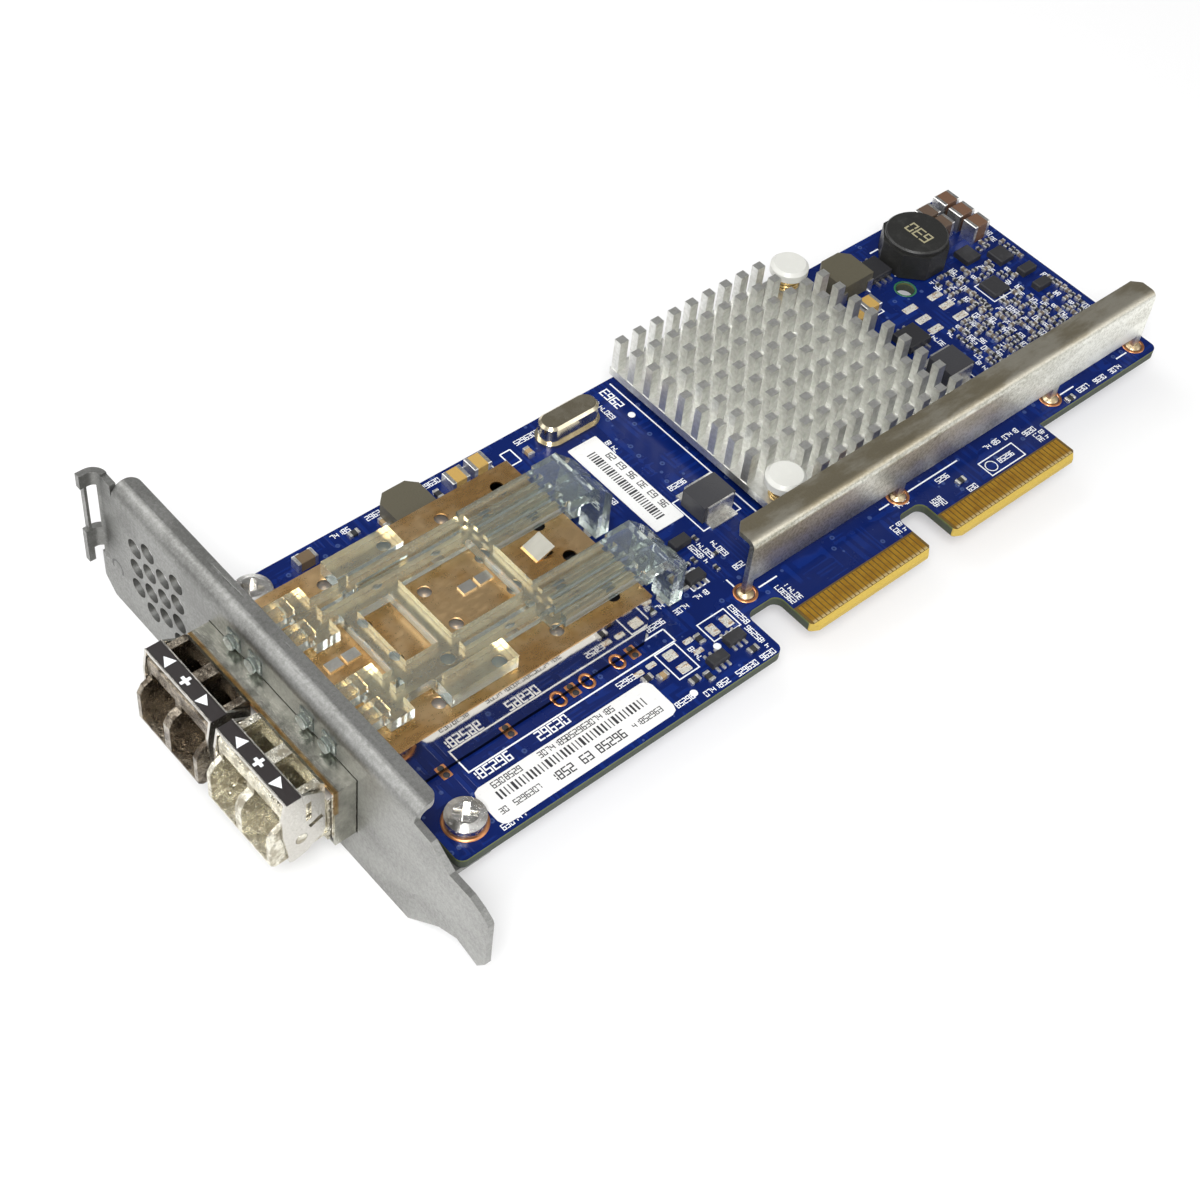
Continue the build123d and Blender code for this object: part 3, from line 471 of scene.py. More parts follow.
def bracket_finish():
    """Zinc-plated steel, softly mottled and darker with y as painted shade; a half-pressed ring near the
    tab has painted shade in its groove.
    """
    ring_y, ring_inner, ring_outer, ring_low, ring_front = 63.0, 1.0, 1.35, -0.6, 2.0
    shade_start, shade_end = 2.0, 34.0
    finish = Finish("bracket_zinc", Metallic=0.92)
    cloud = finish.noise(1.8, 6.0, 0.7)
    fine = finish.noise(6.0, 3.0, 0.7)
    scratch = finish.ramp(finish.noise(0.8, 4.0, 0.8, (1, 0.08, 3)), 0.62, 0.72)
    streak = finish.ramp(finish.noise(0.10, 3.0, 0.5, (1, 1, 2)), 0.35, 0.7)
    tone = finish.ramp(cloud, 0.3, 0.7) * 0.4 + finish.ramp(fine, 0.35, 0.65) * 0.2 + streak * 0.35
    finish.set(Roughness=0.40 + (cloud - 0.5) * 0.22 + (fine - 0.5) * 0.1 - scratch * 0.08)
    away_y = finish.y - ring_y
    away = (away_y * away_y + finish.z * finish.z) ** 0.5
    ring = finish.within(away, ring_inner, ring_outer) * (finish.z > ring_low) * (finish.x < ring_front)
    # Painted shade: the zinc darkens as y grows.
    shade = finish.ramp(finish.y, shade_start, shade_end) * 0.35
    zinc = finish.blend(tone + shade, (0.42, 0.42, 0.405), (0.20, 0.20, 0.19))
    # Painted shade: the half-pressed ring's groove is coloured near black.
    finish.set(Base_Color=finish.blend(ring * 0.75, zinc, (0.05, 0.05, 0.05)))
    finish.bump(fine * 0.25 + cloud * 0.35 - ring * 1.5 - scratch * 0.3, 0.06)
    return finish.material


def cage_finish():
    """Bronze-tinted plated sheet with rolling waves on the roof, walls that are nearly a mirror, and a
    painted shadow along their foot.
    """
    painted_shadow_top, wall_top, leaf_low = 0.7, 9.7, 10.12
    finish = Finish("cage_sheet", Metallic=1.0)
    cloud = finish.noise(0.15, 3.0)
    smear = finish.ramp(finish.noise(0.5, 5.0, 0.65, (1, 2.5, 1)), 0.45, 0.7)
    wall = finish.z < wall_top
    leaf = finish.z > leaf_low
    roof = finish.blend(finish.ramp(cloud, 0.4, 0.62), (0.72, 0.42, 0.16), (0.90, 0.62, 0.32))
    sheet = finish.blend(wall, roof, (0.70, 0.67, 0.62))
    # Painted shadow: a near-black band along the foot of the walls, where they meet the board.
    sheet = finish.blend(finish.z < painted_shadow_top, sheet, (0.03, 0.03, 0.03))
    finish.set(Base_Color=finish.blend(leaf, sheet, (0.40, 0.39, 0.34)))
    grain = finish.noise(5.0, 3.0, 0.7)
    # In the cage this is only wear: smears, clouds and grain that vary the roughness.
    wear_and_painted_light = smear * 0.10 + (cloud - 0.5) * 0.06 + (grain - 0.5) * 0.1
    finish.set(Roughness=0.28 - wall * 0.23 + wear_and_painted_light * (1 - wall * 0.8) + leaf * 0.2)
    finish.bump((cloud * 0.5 + smear * 0.03) * (1 - wall * 0.8), 0.20)
    return finish.material


def collar_finish():
    """Sheet that is bronze along its upper front and grey elsewhere, with rolling lines."""
    fade_start, fade_end, bronze_low = -2.9, -2.5, 6.0
    finish = Finish("collar_spring", Metallic=1.0)
    cloud = finish.noise(0.5, 5.0, 0.65)
    hairline = finish.noise(3.0, 3.0, 0.7, (1, 0.1, 1))
    tone = finish.ramp(cloud, 0.35, 0.65)
    bronze = finish.blend(tone, (0.36, 0.20, 0.06), (0.52, 0.36, 0.16))
    grey = finish.blend(tone, (0.36, 0.36, 0.31), (0.56, 0.55, 0.48))
    front = 1 - finish.ramp(finish.x, fade_start, fade_end)
    finish.set(Base_Color=finish.blend(front * (finish.z > bronze_low), grey, bronze))
    finish.set(Roughness=0.22 + (hairline - 0.5) * 0.2 + (cloud - 0.5) * 0.1)
    finish.bump(hairline * 0.3 + cloud, 0.05)
    return finish.material


def rail_finish():
    """Tinned steel: a grainy wall with painted light that brightens it toward its far end, below a browner
    flange with dull clouds.
    """
    bend_start, bend_end = 9.8, 10.5
    painted_light_start, painted_light_end = 90.0, 138.0
    finish = Finish("rail_tin", Metallic=1.0)
    cloud = finish.noise(0.25, 5.0, 0.65, (0.35, 1, 1))
    grain = finish.noise(2.4, 4.0, 0.75)
    flange = finish.ramp(finish.z, bend_start, bend_end)
    speck = finish.ramp(grain, 0.42, 0.60)
    dull = finish.ramp(cloud, 0.35, 0.65) * 0.45 + speck * 0.4
    # Painted light: the wall's colour brightens along x toward its far end.
    wear_and_painted_light = 0.2 - 0.5 * finish.ramp(finish.x, painted_light_start, painted_light_end)
    bright = finish.blend(dull + wear_and_painted_light, (0.92, 0.92, 0.85), (0.34, 0.33, 0.26))
    film = finish.blend(finish.ramp(cloud, 0.4, 0.6), (0.46, 0.39, 0.25), (0.74, 0.69, 0.56))
    finish.set(Base_Color=finish.blend(flange * 0.85, bright, film))
    finish.set(Roughness=0.36 + (grain - 0.5) * 0.3 + (cloud - 0.5) * 0.15)
    finish.bump(grain * 0.4 + cloud, 0.08)
    return finish.material


def bail_finish():
    """Bright wire-drawn steel with a black film on top of the strip, inside its rims."""
    film_low, film_start, film_end = 12.6, -9.45, -7.35
    finish = Finish("bail_steel")
    grain = finish.noise(3.0, 4.0, 0.7, (1, 0.3, 1))
    film = (finish.z > film_low) * finish.within(finish.x, film_start, film_end)
    steel = finish.blend(grain, (0.80, 0.78, 0.73), (0.42, 0.40, 0.36))
    finish.set(Base_Color=finish.blend(film, steel, (0.018, 0.014, 0.014)), Metallic=1 - film)
    finish.set(Roughness=0.24 + (grain - 0.5) * 0.25 + film * 0.12)
    finish.bump(grain, 0.03)
    return finish.material


def solder_finish():
    """Solder on a pad: bright, with bare copper showing through in streaks."""
    finish = Finish("pad_solder", Metallic=0.55)
    streak = finish.ramp(finish.noise(0.9, 4.0, 0.6, (1, 2.2, 1)), 0.50, 0.62)
    grain = finish.noise(4.0, 3.0, 0.7)
    finish.set(Base_Color=finish.blend(streak * 0.8, (0.88, 0.86, 0.79), (0.50, 0.30, 0.14)))
    finish.set(Roughness=0.30 + (grain - 0.5) * 0.3)
    finish.bump(grain * 0.4 + streak, 0.06)
    return finish.material


def clear_finish():
    """Clear moulded acrylic, faintly green, with flow marks and fine scuffs."""
    finish = Finish("clear_acrylic", Transmission_Weight=0.92, IOR=1.47)
    flow = finish.noise(0.35, 3.0, 0.5, (0.5, 2, 1))
    scuff = finish.ramp(finish.noise(1.6, 6.0, 0.75), 0.58, 0.72)
    finish.set(Base_Color=finish.blend(flow, (0.79, 0.86, 0.82), (0.68, 0.75, 0.71)))
    finish.set(Roughness=scuff * 0.03)
    finish.bump(flow + scuff * 0.1, 0.003)
    return finish.material


def printed(name, colour, rough=0.55):
    """Ink or paper: even, slightly worn in spots."""
    finish = Finish(name)
    wear = finish.ramp(finish.noise(1.8, 5.0, 0.7), 0.55, 0.75)
    fibre = finish.noise(6.0, 3.0)
    finish.set(Base_Color=finish.blend(wear * 0.5 + fibre * 0.1, colour, shaded(colour, 0.72)))
    finish.set(Roughness=rough + (fibre - 0.5) * 0.15)
    finish.bump(fibre, 0.01)
    return finish.material


def nose_finish(name, bright, dark, rough, pits):
    """Die-cast zinc: grainy, with pits and worn spots of brighter metal."""
    finish = Finish(name, Metallic=1.0)
    cloud = finish.ramp(finish.noise(0.6, 6.0, 0.7), 0.42, 0.6)
    pit = finish.ramp(finish.cells(1.1), 0.32, 0.1)
    grain = finish.noise(3.5, 4.0, 0.7)
    finish.set(Base_Color=finish.blend(cloud, bright, dark))
    finish.set(Roughness=rough + (grain - 0.5) * 0.35 + cloud * 0.12)
    finish.bump(grain * 0.6 - pit * pits, 0.12)
    return finish.material


tall_places = ((143.9, 48.6), (143.9, 45.3), (143.9, 42.0))
bulk_places = ((139.4, 48.4), (139.4, 45.3))
tan_places = ((117.4, 39.6), (114.0, 38.9), (44.8, 48.6), (48.8, 48.9))
switch_places = ((124.1, 45.0), (117.8, 30.9))
ferrite = (0.045, 0.045, 0.05)
switch_black = (0.022, 0.022, 0.025)
choke_umber = (0.10, 0.09, 0.06)

finishes = {
    "board": board_finish(),
    "gold": gold_finish(),
    "bracket": bracket_finish(),
    "screw": sheet_metal("screw_steel", (0.86, 0.85, 0.82), (0.62, 0.60, 0.56), 0.15, mottle=3.0, dent=0.2),
    "cage": cage_finish(),
    "collar": collar_finish(),
    "clear": clear_finish(),
    "lamp": moulded("lamp_body", (0.72, 0.71, 0.62), (0.85, 0.85, 0.80), 0.35, coat=0.3),
    "sink": sheet_metal("sink_aluminium", (0.84, 0.84, 0.81), (0.66, 0.66, 0.62), 0.42, 0.14, 5.0,
                        (1, 1, 0.3), 0.05),
    "chip": moulded("chip_black", (0.020, 0.020, 0.022), (0.10, 0.10, 0.11), 0.55, 8.0),
    "pad": moulded("thermal_grey", (0.30, 0.31, 0.33), (0.45, 0.45, 0.47), 0.8, 3.0),
    "nylon": moulded("nylon_white", (0.62, 0.62, 0.58), (0.74, 0.74, 0.70), 0.42, 2.0, 0.10),
    "brass": sheet_metal("spring_brass", (0.78, 0.58, 0.27), (0.52, 0.36, 0.14), 0.25, mottle=4.0),
    "rail": rail_finish(),
    "can": sheet_metal("can_nickel", (0.76, 0.69, 0.53), (0.54, 0.47, 0.33), 0.17, 0.08, 1.5),
    "choke": moulded("choke_black", (0.014, 0.014, 0.013), (0.06, 0.06, 0.055), 0.42, 3.0, depth=0.05),
    "connector": moulded("connector_black", (0.015, 0.015, 0.016), (0.07, 0.07, 0.07), 0.45),
    "module_board": moulded("module_green", (0.02, 0.13, 0.05), (0.10, 0.25, 0.12), 0.35, coat=0.3),
    "optic": sheet_metal("optic_steel", (0.70, 0.70, 0.68), (0.5, 0.5, 0.48), 0.2),
    "cover": sheet_metal("cover_steel", (0.90, 0.89, 0.87), (0.75, 0.74, 0.71), 0.5, mottle=2.0),
    "tab": sheet_metal("tab_steel", (0.84, 0.82, 0.76), (0.62, 0.60, 0.54), 0.3, mottle=2.0),
    "bail": bail_finish(),
    # The far nose is the near nose's die-cast zinc darkened as painted shade.
    "far_nose": nose_finish("far_zinc_painted_shade", (0.40, 0.35, 0.28), (0.10, 0.08, 0.06), 0.15, 0.4),
    "near_nose": nose_finish("near_zinc", (0.88, 0.85, 0.73), (0.42, 0.38, 0.29), 0.22, 1.1),
    "ink": printed("white_ink", (0.86, 0.88, 0.90)),
    "dim_ink": printed("dim_ink", (0.34, 0.31, 0.19)),
    "paper": printed("label_paper", (0.80, 0.80, 0.79)),
    "print": printed("label_print", (0.03, 0.03, 0.035), 0.5),
    "tin": sheet_metal("solder_tin", (0.92, 0.91, 0.88), (0.70, 0.69, 0.65), 0.42, 0.2, 3.0, dent=0.3),
    "pad_solder": solder_finish(),
    "solder": sheet_metal("aged_solder", (0.72, 0.60, 0.40), (0.46, 0.34, 0.18), 0.38, 0.2, 3.0),
    "copper": sheet_metal("bare_copper", (0.80, 0.36, 0.16), (0.52, 0.22, 0.09), 0.35, mottle=2.0),
    "ceramic": moulded("tan_body", (0.36, 0.25, 0.13), (0.5, 0.38, 0.22), 0.45),
    "grey_ceramic": moulded("grey_body", (0.15, 0.12, 0.09), (0.3, 0.27, 0.22), 0.45),
    "tall": tinned("tall_brown", (0.16, 0.085, 0.05), end_boxes(tall_places, (3.4, 2.6, 3.3), 0.6)),
    "bulk": tinned("bulk_umber", (0.12, 0.08, 0.055), end_boxes(bulk_places, (3.4, 2.6, 2.9), 0.6)),
    "tan": tinned("tan_ceramic", (0.52, 0.33, 0.09), end_boxes(tan_places, (3.0, 2.6, 1.9), 0.6)),
    "brown": tinned("brown_ceramic", (0.16, 0.11, 0.06), end_boxes([(19.7, 49.0)], (3.2, 1.7, 1.7), 0.5)),
    "input_bead": tinned("input_ferrite", ferrite, side_boxes([(70.1, 24.8)], (5.8, 4.4, 3.2), 2.0)),
    "output_bead": tinned("output_ferrite", ferrite, side_boxes([(117.3, 22.7)], (5.0, 4.6, 3.0), 2.0)),
    "switches": tinned("switch_black", switch_black, side_boxes(switch_places, (4.4, 3.9, 1.5), 1.5)),
    "input_choke": tinned("input_choke_umber", choke_umber, clip_boxes((118.1, 46.1), (6.4, 6.4, 3.4))),
    "rear_choke": tinned("rear_choke_umber", choke_umber, clip_boxes((35.7, 48.2), (6.6, 5.4, 3.2))),
}

node_finishes = {
    "board": "board", "upper_contacts": "gold", "lower_contacts": "gold", "bracket": "bracket",
    "bracket_screws": "screw", "cage_shell": "cage", "cage_floor": "cage", "cage_divider": "tab",
    "cage_collar": "collar", "light_pipe": "clear", "status_lamps": "lamp", "heat_sink": "sink",
    "controller_chip": "chip", "thermal_pad": "pad", "push_pins": "nylon", "push_pin_springs": "brass",
    "stiffener_rail": "rail", "crystal_can": "can", "power_inductor": "choke", "input_choke": "input_choke",
    "rear_choke": "rear_choke", "input_bead": "input_bead", "output_bead": "output_bead",
    "tall_capacitors": "tall", "bulk_capacitors": "bulk", "tan_capacitors": "tan",
    "cage_side_capacitor": "brown", "upper_switch": "switches", "lower_switch": "switches",
    "supervisor_chip": "chip", "power_chips": "chip", "small_chips": "chip",
}
for side in ("near", "far"):
    node_finishes[side + "_module_housing"] = side + "_nose"
    node_finishes[side + "_module_cover"] = "cover"
    node_finishes[side + "_module_board"] = "module_board"
    node_finishes[side + "_module_optics"] = "optic"
    node_finishes[side + "_bail"] = "bail"
    node_finishes[side + "_host_connector"] = "connector"

for node, finish in node_finishes.items():
    for slot in nodes[node].material_slots:
        slot.material = finishes[finish]

edge_widths = {"light_pipe": 0.18, "heat_sink": 0.14, "stiffener_rail": 0.06, "bracket": 0.06}
for node, width in edge_widths.items():
    bevel = nodes[node].modifiers.new("edge", "BEVEL")
    bevel.width = width * mm
    bevel.segments = 2
    bevel.limit_method = "ANGLE"
    bevel.angle_limit = np.radians(40)


# Screen print

# The seven strokes of a figure one unit tall, as middle and length along u and v
figure_strokes = np.array([
    (0.25, 1.0, 0.5, 0.0), (0.5, 0.75, 0.0, 0.5), (0.5, 0.25, 0.0, 0.5), (0.25, 0.0, 0.5, 0.0),
    (0.0, 0.25, 0.0, 0.5), (0.0, 0.75, 0.0, 0.5), (0.25, 0.5, 0.5, 0.0),
])
# The strokes of each figure from 0 to 9
figures = ("012345", "12", "01643", "01623", "5612", "05623", "056423", "012", "0123456", "012356")
figure_pitch = 0.78
small_tall = 0.8
large_tall = 1.35


def numbers(rows, tall, z=figure_low, heavy=0.15):
    """Rows of plain figures: (x, y of the first one's left middle, how many, along x or along y)."""
    plates = []
    line = heavy * tall
    for x, y, count, along_x in rows:
        for k in range(count):
            for stroke in figures[(7 * k + int(x + 3 * y)) % 10]:
                u, v, long, high = figure_strokes[int(stroke)] * tall
                u += k * figure_pitch * tall
                v -= tall / 2
                wide = long + line if long else line
                deep = high - line if high else line
                if along_x:
                    plates.append((x + u, y + v, z, wide, deep, ink_rise))
                else:
                    plates.append((x - v, y + u, z, deep, wide, ink_rise))
    return plates


def ink_lines(lines, rise=ink_rise):
    """Plates of ink for lines given as middle and size along x and y."""
    return [(x, y, ink_low, wide, deep, rise) for x, y, wide, deep in lines]


def frames(boxes, line=0.18):
    """Outlines of boxes given as low and high corners, each of four lines."""
    lines = []
    for x0, y0, x1, y1 in boxes:
        middle_x, middle_y = (x0 + x1) / 2, (y0 + y1) / 2
        lines += [(middle_x, y, x1 - x0 + line, line) for y in (y0, y1)]
        lines += [(x, middle_y, line, y1 - y0 - line) for x in (x0, x1)]
    return ink_lines(lines)


silk_lines = (
    (33.2, 9.75, 34.8, 0.22), (15.9, 11.0, 0.22, 2.5), (50.5, 10.9, 0.22, 2.4), (40.0, 12.15, 21.0, 0.22),
    (75.0, 35.2, 0.22, 31.2), (67.4, 9.7, 3.4, 0.22), (90.2, 9.75, 2.0, 0.22), (100.0, 9.75, 10.6, 0.22),
    (129.1, 9.7, 3.8, 0.22), (142.2, 9.7, 2.4, 0.22), (63.1, 12.4, 0.22, 1.9), (53.1, 47.9, 0.2, 2.6),
    (54.9, 47.9, 0.2, 2.6), (128.1, 48.6, 1.8, 0.25), (127.4, 42.6, 1.6, 0.25), (120.8, 43.2, 0.25, 1.8),
)
silk_crossbars = ((54.0, 49.2, 1.8, 0.2), (54.0, 46.6, 1.8, 0.2))
small_rows = (
    (39.4, 8.6, 5, True), (39.4, 13.5, 6, True), (14.0, 0.9, 6, True), (52.2, 15.2, 5, True),
    (48.6, 13.2, 5, True), (43.4, 1.7, 5, True), (47.6, 0.8, 7, True), (53.2, 0.7, 6, True),
    (57.6, 0.7, 4, True), (59.7, 1.6, 7, False), (60.3, 6.2, 6, False), (63.2, 17.2, 6, False),
    (64.4, 17.4, 5, False), (61.6, 46.6, 5, False), (70.8, 45.2, 8, False), (56.2, 49.6, 8, True),
    (36.0, 50.6, 6, True), (40.5, 50.6, 5, True), (25.2, 50.6, 5, True), (14.2, 41.8, 5, False),
    (67.8, 4.9, 6, False), (69.0, 4.9, 5, False), (88.4, 4.9, 3, False), (89.6, 4.9, 3, False),
    (96.6, 4.9, 3, False), (97.7, 4.9, 3, False), (118.6, 4.9, 3, False), (119.8, 4.9, 3, False),
    (110.2, 6.0, 5, True), (110.4, 8.9, 5, True), (114.2, 8.7, 5, True), (117.2, 7.4, 4, True),
    (130.8, 8.6, 4, True), (134.4, 8.4, 4, True), (138.0, 8.4, 4, True), (65.4, 14.2, 3, True),
    (80.5, 46.9, 5, True), (68.0, 30.2, 5, True), (121.5, 27.4, 5, False), (123.0, 19.0, 5, False),
    (132.5, 50.6, 5, True), (135.2, 40.6, 5, False), (129.0, 26.4, 5, False), (113.0, 14.9, 5, True),
    (57.4, 13.4, 4, True), (51.2, 5.4, 4, False), (66.2, 16.6, 5, False), (53.6, 13.2, 4, True),
    (60.2, 32.6, 5, False), (59.2, 33.0, 4, False), (67.0, 40.0, 4, False), (31.0, 50.6, 4, True),
    (19.0, 50.6, 5, True), (99.8, 8.6, 4, True), (102.4, 4.8, 3, True), (91.4, 8.6, 4, True),
)
large_rows = ((15.7, 8.75, 6, True), (26.1, 8.75, 5, True), (73.2, 46.4, 4, False))
silk = ink_lines(silk_lines) + ink_lines(silk_crossbars, 0.02)
silk += numbers(small_rows, small_tall) + numbers(large_rows, large_tall)
marks("silkscreen", silk, finishes["ink"])

outlines = frames((
    (46.6, 4.6, 50.1, 9.5), (54.5, 6.5, 59.3, 9.9), (66.6, 21.6, 73.6, 28.0), (58.2, 14.5, 61.0, 17.5),
    (44.9, 46.9, 50.9, 50.4), (107.3, 4.6, 114.4, 7.4), (114.6, 19.4, 120.2, 26.0),
    (135.2, 29.4, 139.4, 33.6), (115.4, 38.0, 119.4, 41.2),
))
marks("silk_frames", outlines, finishes["ink"])
dot = [(0.55, 0.0), (0.55, 0.02), (0.5, 0.03)]
dot_places = [(73.4, 44.2, ink_low), (46.6, 1.9, ink_low), (54.3, 5.7, ink_low)]
turned("silk_dots", dot_places, dot, finishes["ink"])
circle = washer(1.0, 0.85, ink_rise)
turned("silk_circle", [(108.6, 6.0, ink_low)], circle, finishes["ink"], ring=True)


# Lands, pads and solder

pads = [(128.5, y, 2.6, 1.2) for y in (35.8, 33.3, 30.4)]
pads += [(123.1, y, 2.6, 1.2) for y in (36.0, 33.2, 30.6)]
pads += [(48.3, 8.3, 1.8, 1.5), (48.4, 5.7, 1.8, 1.5), (55.7, 8.1, 1.4, 1.9), (58.2, 8.1, 1.4, 1.9)]
pads += [(x, y, 1.5, 0.8) for x, y in ((45.2, 8.6), (43.0, 8.5), (51.8, 8.7), (51.8, 6.6))]
pad_plates = [(x, y, 0.0, wide, deep, 0.05) for x, y, wide, deep in pads]
slabs("tin_pads", pad_plates, finishes["pad_solder"], corner=0.15, edge=0.03)

copper, copper_slot = finishes["copper"], "gold_contacts"
squares = [(x, wall_foot_y, 0.0, 1.5, 1.5, 0.04) for x in pin_places]
slabs("square_lands", squares, copper, corner=0.12, edge=0.02)
rounds = [(x, wall_foot_y, 0) for x in (32.1, 36.9, 42.1)]
turned("round_lands", rounds, washer(1.0, 0.55, 0.04), copper, ring=True)
# Painted shade: a near-black disc stands for the shade inside each square land's hole.
land_hole = [(0.45, 0.0), (0.45, 0.045), (0.44, 0.05)]
hole_shade_places = [(x, wall_foot_y - 0.3, 0.0) for x in pin_places]
turned("land_hole_shades", hole_shade_places, land_hole, finishes["print"])
screw_spots = [(x, y, 0) for x, y in screw_places]
turned("screw_lands", screw_spots, washer(3.05, 1.9, 0.04), copper, ring=True, steps=40)
tool_ring, tool_spot = washer(1.8, 1.5, 0.03), [(*tool_hole, 0)]
turned("tool_ring", tool_spot, tool_ring, finishes["module_board"], ring=True, steps=32)
leg_spots = [(x, rail_wall_y, 0) for x in rail_leg_places]
turned("leg_lands", leg_spots, washer(1.75, 1.3, 0.05), copper, ring=True, steps=32)
mound = [(1.25, 0.0), (1.2, 0.1), (0.95, 0.25), (0.7, 0.42), (0.6, 0.5)]
turned("leg_solder", leg_spots, mound, finishes["solder"])


# Springs of the push pins

springs = coils("spring_coils", push_pin_places, 1.75, 0.22, spring_low, spring_high, 4, finishes["brass"])
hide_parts("push_pin_springs")


# Small parts beside the cage and along the edges

def part_field(name, places, size, body_finish):
    """Small two-ended parts: a body slab and a tin slab at each end, for places (x, y, along x or not)."""
    length, width, height = size
    body = (length * 0.62, width)
    end = (length * 0.26, width * 1.04)
    bodies, ends = [], []
    for x, y, along_x in places:
        order = 1 if along_x else -1
        bodies.append((x, y, part_foot, *body[::order], height))
        for shift in (-0.38 * length, 0.38 * length):
            step_x, step_y = (shift, 0)[::order]
            ends.append((x + step_x, y + step_y, 0.0, *end[::order], height * 1.06 + part_foot))
    slabs(name, bodies, finishes[body_finish], corner=0.04, edge=0.03)
    slabs(name + "_ends", ends, finishes["tin"], corner=0.04, edge=0.03)


resistors = (
    (48.0, 3.3, True), (49.9, 2.6, False), (57.6, 2.4, True), (51.1, 15.35, False), (41.5, 48.3, False),
    (28.0, 49.4, True), (57.5, 16.0, False), (53.1, 7.9, False), (102.6, 6.6, True), (128.4, 8.2, True),
    (43.2, 7.2, True),
)
ceramics = (
    (45.0, 6.2, True), (47.8, 16.3, True), (43.8, 13.6, True), (56.5, 47.0, False), (32.3, 48.5, False),
    (58.3, 17.4, False), (47.4, 13.0, False),
)
bead_side = (
    (58.6, 21.0, False), (58.6, 22.6, True), (64.6, 21.2, False), (65.0, 17.6, True), (61.8, 18.4, False),
    (60.4, 18.4, True), (63.4, 15.6, False),
)
tiny_size = (1.05, 0.55, 0.35)
part_field("board_resistors", resistors, (1.6, 0.9, 0.45), "chip")
part_field("board_ceramics", ceramics, (1.6, 0.9, 0.7), "ceramic")

choke_feet = [(32.0, 46.6, 0.0, 1.0, 1.6, 1.2), (39.4, 47.6, 0.0, 1.0, 1.8, 1.2)]
slabs("choke_feet", choke_feet, finishes["tin"], corner=0.1, edge=0.08)
small_chips = ((52.6, 3.9), (56.8, 5.2), (59.6, 16.0))
lead_pitch, lead_out = 0.95, 1.15
leads = [(x + step, y + out, 0.0, 0.4, 0.9, 0.28) for x, y in small_chips
         for step in (-lead_pitch, 0, lead_pitch) for out in (-lead_out, lead_out)]
slabs("small_chip_leads", leads, finishes["tin"], corner=0.06, edge=0.04)


# Tiny parts at the far end

crowded_names = ("tall_capacitors", "bulk_capacitors", "power_inductor", "upper_switch", "lower_switch",
                 "supervisor_chip", "output_bead", "push_pins", "heat_sink")
crowd_pitch = (1.45, 0.95)
crowd_shift = 0.12
crowd_margin = 0.8
chip_places = np.array([(139.2, 39.0), (143.6, 35.9), (144.6, 31.3), (144.0, 27.6)])
chip_margin = 2.3


def clear_of_parts(places):
    """The places that lie outside the boxes of the larger parts, and away from the chips, by a margin."""
    keep = np.abs(places[:, None, :] - chip_places[None]).max(-1).min(1) > chip_margin
    for name in crowded_names:
        low, high = (np.array(corner)[:2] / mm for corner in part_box(name))
        inside = np.all((places > low - crowd_margin) & (places < high + crowd_margin), axis=1)
        keep &= ~inside
    return places[keep]


def crowd(low, high, share, seed):
    """Places on a grid, each moved a little, of which chance keeps a share."""
    chance = np.random.default_rng(seed)
    x = np.arange(low[0], high[0], crowd_pitch[0])
    y = np.arange(low[1], high[1], crowd_pitch[1])
    places = np.stack(np.meshgrid(x, y), -1).reshape(-1, 2)
    places = places + chance.uniform(-crowd_shift, crowd_shift, places.shape)
    return places[chance.random(len(places)) < share]


regulator = clear_of_parts(np.concatenate([
    crowd((124.6, 14.6), (147.4, 29.5), 0.92, 3),
    crowd((130.6, 29.5), (147.4, 41.2), 0.85, 4),
]))
kind = np.arange(len(regulator)) * 7 % 10


def turned_by_rank(places):
    """The places as (x, y, along x), with every third one along y."""
    return [(x, y, rank % 3 != 0) for rank, (x, y) in enumerate(places)]


tiny_ceramic_size = (1.05, 0.55, 0.50)
part_field("tiny_resistors", turned_by_rank(regulator[kind < 4]), tiny_size, "chip")
tiny_ceramics = turned_by_rank(regulator[(kind >= 4) & (kind < 7)])
part_field("tiny_ceramics", tiny_ceramics, tiny_ceramic_size, "grey_ceramic")
legends = [(x - 0.5, y, 2, along_x) for x, y, along_x in turned_by_rank(regulator[kind >= 7])]
marks("tiny_legends", numbers(legends, small_tall), finishes["ink"])
part_field("bead_resistors", bead_side, tiny_size, "chip")

inductor_low, inductor_high = (np.array(corner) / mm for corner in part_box("power_inductor"))
inductor_x, inductor_y = (inductor_low[:2] + inductor_high[:2]) / 2
inductor_print = numbers([(inductor_x, inductor_y - 2.4, 3, False)], 2.0, inductor_high[2], 0.13)
marks("inductor_mark", inductor_print, finishes["dim_ink"])


# Labels

front_label = [(28.7, 4.1, 0.0, 29.0, 6.3, label_rise)]
strip_label = [(63.8, 34.7, 0.0, 5.2, 18.8, label_rise)]
slabs("front_label", front_label, finishes["paper"], corner=1.1, edge=0.02)
slabs("strip_label", strip_label, finishes["paper"], corner=0.2, edge=0.02)
bar_widths = np.array((0.30, 0.16, 0.22, 0.40, 0.16, 0.28))
rank = np.arange(40)
front_bars = bar_widths[(rank * 5 + rank // 3) % 6]
rank = rank[:32]
strip_bars = bar_widths[(rank * 7 + rank // 4) % 6] * 0.9
front_start, front_pitch, strip_start, strip_pitch = 16.7, 0.61, 27.1, 0.47
bars = [(front_start + front_pitch * n, 4.8, label_ink, width, 1.35, ink_rise)
        for n, width in enumerate(front_bars)]
bars += [(63.5, strip_start + strip_pitch * n, label_ink, 1.5, width, ink_rise)
         for n, width in enumerate(strip_bars)]
